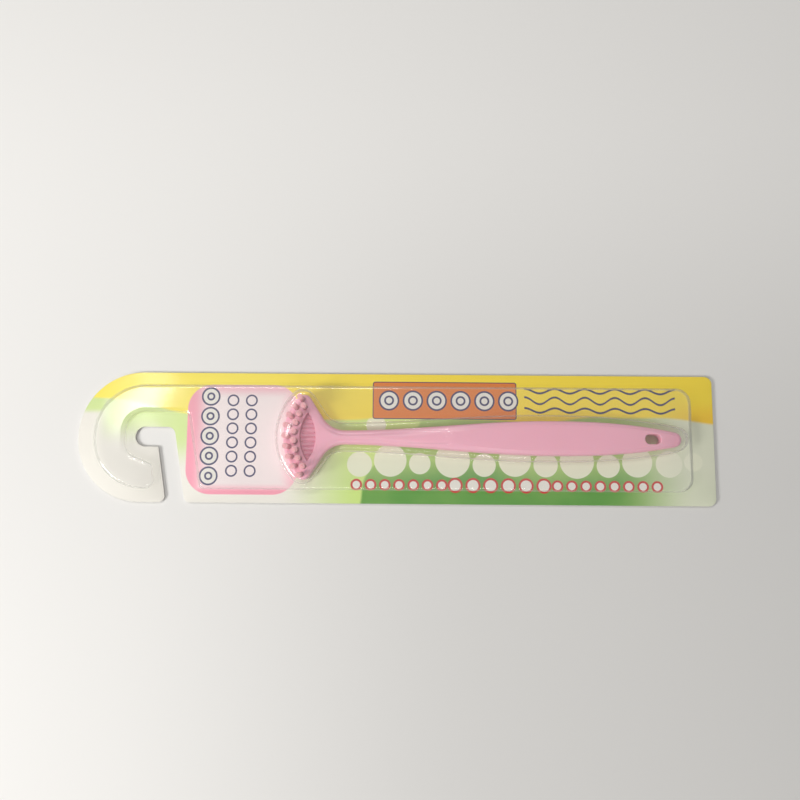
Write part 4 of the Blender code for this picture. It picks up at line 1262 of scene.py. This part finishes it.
class BlisterOperator(bpy.types.Operator):
    """Makes the clear blister"""

    bl_idname = "tongue_brush.blister"
    bl_label = "Blister"

    def execute(self, context):
        pack, brush, _, colours, _ = settings()
        piece = placed("blister_sheet", finished(blister_mesh(pack, brush), sheet_finish(colours)))
        carried(piece, "blister", "clear_blister", "blister_shell")
        return {"FINISHED"}


class BrushOperator(bpy.types.Operator):
    """Makes the brush's head, neck and grip"""

    bl_idname = "tongue_brush.brush"
    bl_label = "Brush"

    def execute(self, context):
        _, brush, bristles, colours, _ = settings()
        piece = placed("brush_body", finished(brush_mesh(brush, bristles), pink_finish(colours)))
        carried(piece, "brush", "pink_plastic", "brush_handle")
        return {"FINISHED"}


class TuftsOperator(bpy.types.Operator):
    """Makes the bristle tufts and gives the anchors their finish"""

    bl_idname = "tongue_brush.tufts"
    bl_label = "Tufts"

    def execute(self, context):
        _, brush, bristles, colours, _ = settings()
        nylon, brass = nylon_finish(colours), brass_finish(colours)
        places = tuft_places(brush, bristles)
        if len(places) != len(TUFTS):
            raise RuntimeError(f"{len(places)} tufts are asked for, and the model has {len(TUFTS)}")
        for number, (node, place) in enumerate(zip(TUFTS, places), start=1):
            mesh = finished(tuft_mesh(f"bristles_{number:02d}", bristles, place, number), nylon)
            carried(placed(mesh.name, mesh), "brush", "nylon_bristle", node)
        for node in ANCHORS:
            finished(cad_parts[node].data, brass)
        return {"FINISHED"}


class StageOperator(bpy.types.Operator):
    """Makes the table, the light and the camera"""

    bl_idname = "tongue_brush.stage"
    bl_label = "Stage"

    def execute(self, context):
        _, _, _, colours, stage = settings()
        self.table(colours)
        self.sky(stage)
        for name, values in LAMPS.items():
            self.lamp(name, *values)
        self.camera(stage)
        return {"FINISHED"}

    def table(self, colours):
        """A flat table far wider than the view."""
        reach, steps, below = 1.5, 9, 0.6 * MM
        x, y = np.meshgrid(np.linspace(-reach, reach, steps), np.linspace(-reach, reach, steps))
        shape = Shape()
        grid = shape.points(np.stack((x, y, np.full_like(x, -below)), axis=-1))
        shape.faces(np.stack((grid[:-1, :-1], grid[:-1, 1:], grid[1:, 1:], grid[1:, :-1]), axis=-1))
        placed("table", finished(shape.mesh("table"), table_finish(colours)))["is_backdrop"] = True

    def sky(self, stage):
        """An even pale sky, which is as bright as paper where it is looked at or mirrored."""
        world = bpy.data.worlds.new("pale_room")
        bpy.context.scene.world = world
        room = Nodes(world)
        seen = room.path("Is Camera Ray").most(room.path("Is Glossy Ray"))
        strength = stage.sky + seen * (SEEN_SKY - stage.sky)
        tone = (1.0, 0.99, 0.975, 1.0)
        light = room.node("ShaderNodeBackground", None, {"Color": tone, "Strength": strength})
        room.node("ShaderNodeOutputWorld", None, {"Surface": light.outputs[0]})

    def lamp(self, name, place, width, height, power):
        """A soft lamp that points at the pack."""
        light = bpy.data.lights.new(name, "AREA")
        light.shape = "RECTANGLE"
        light.size, light.size_y, light.energy = width, height, power
        light.color = (1.0, 0.985, 0.96)
        lamp = placed(name, light)
        lamp.location = place
        lamp.rotation_euler = Vector(place).to_track_quat("Z", "Y").to_euler()

    def camera(self, stage):
        """A camera nearly straight above the pack, a little to the side of its lower edge."""
        lens = bpy.data.cameras.new("camera")
        lens.sensor_width = 36.0
        lens.lens = lens.sensor_width * stage.camera_distance / stage.view_width
        lens.clip_start = 0.01
        camera = placed("camera", lens)
        turn = Matrix.Rotation(stage.camera_tilt, 4, "X") @ Matrix.Rotation(stage.camera_roll, 4, "Z")
        back = Matrix.Translation((0.0, 0.0, stage.camera_distance))
        camera.matrix_world = Matrix.Translation(stage.aim) @ turn @ back
        bpy.context.scene.camera = camera
        bpy.context.scene.view_settings.view_transform = "Standard"


OPERATORS = (CardOperator, BlisterOperator, BrushOperator, TuftsOperator, StageOperator)
GROUPS = {"pack_sizes": PackSizes, "brush_sizes": BrushSizes, "bristle_sizes": BristleSizes,
          "pack_colours": Colours, "pack_stage": StageSettings}


class PackPanel(bpy.types.Panel):
    """Lists the settings and the steps"""

    bl_idname = "VIEW3D_PT_tongue_brush"
    bl_label = "Tongue brush"
    bl_space_type = "VIEW_3D"
    bl_region_type = "UI"
    bl_category = "Tongue brush"

    def draw(self, context):
        layout = self.layout
        for operator in OPERATORS:
            layout.operator(operator.bl_idname)
        for group in GROUPS:
            for name in GROUPS[group].__annotations__:
                layout.prop(getattr(context.scene, group), name)


def register():
    """Registers the classes and puts the property groups on the scene."""
    for group, kind in GROUPS.items():
        bpy.utils.register_class(kind)
        setattr(bpy.types.Scene, group, PointerProperty(type=kind))
    for kind in (*OPERATORS, PackPanel):
        bpy.utils.register_class(kind)


def unregister():
    """Takes the property groups and the classes away again."""
    for kind in (PackPanel, *reversed(OPERATORS)):
        bpy.utils.unregister_class(kind)
    for group, kind in reversed(GROUPS.items()):
        delattr(bpy.types.Scene, group)
        bpy.utils.unregister_class(kind)


def plain(box):
    """A box as plain lists of numbers."""
    return [[float(value) for value in corner] for corner in box]


def main():
    register()
    bpy.ops.tongue_brush.card()
    bpy.ops.tongue_brush.blister()
    bpy.ops.tongue_brush.brush()
    bpy.ops.tongue_brush.tufts()
    bpy.ops.tongue_brush.stage()
    {"cad": plain(CAD_BOX), "visual": plain(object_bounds())}


if __name__ == "__main__":
    main()
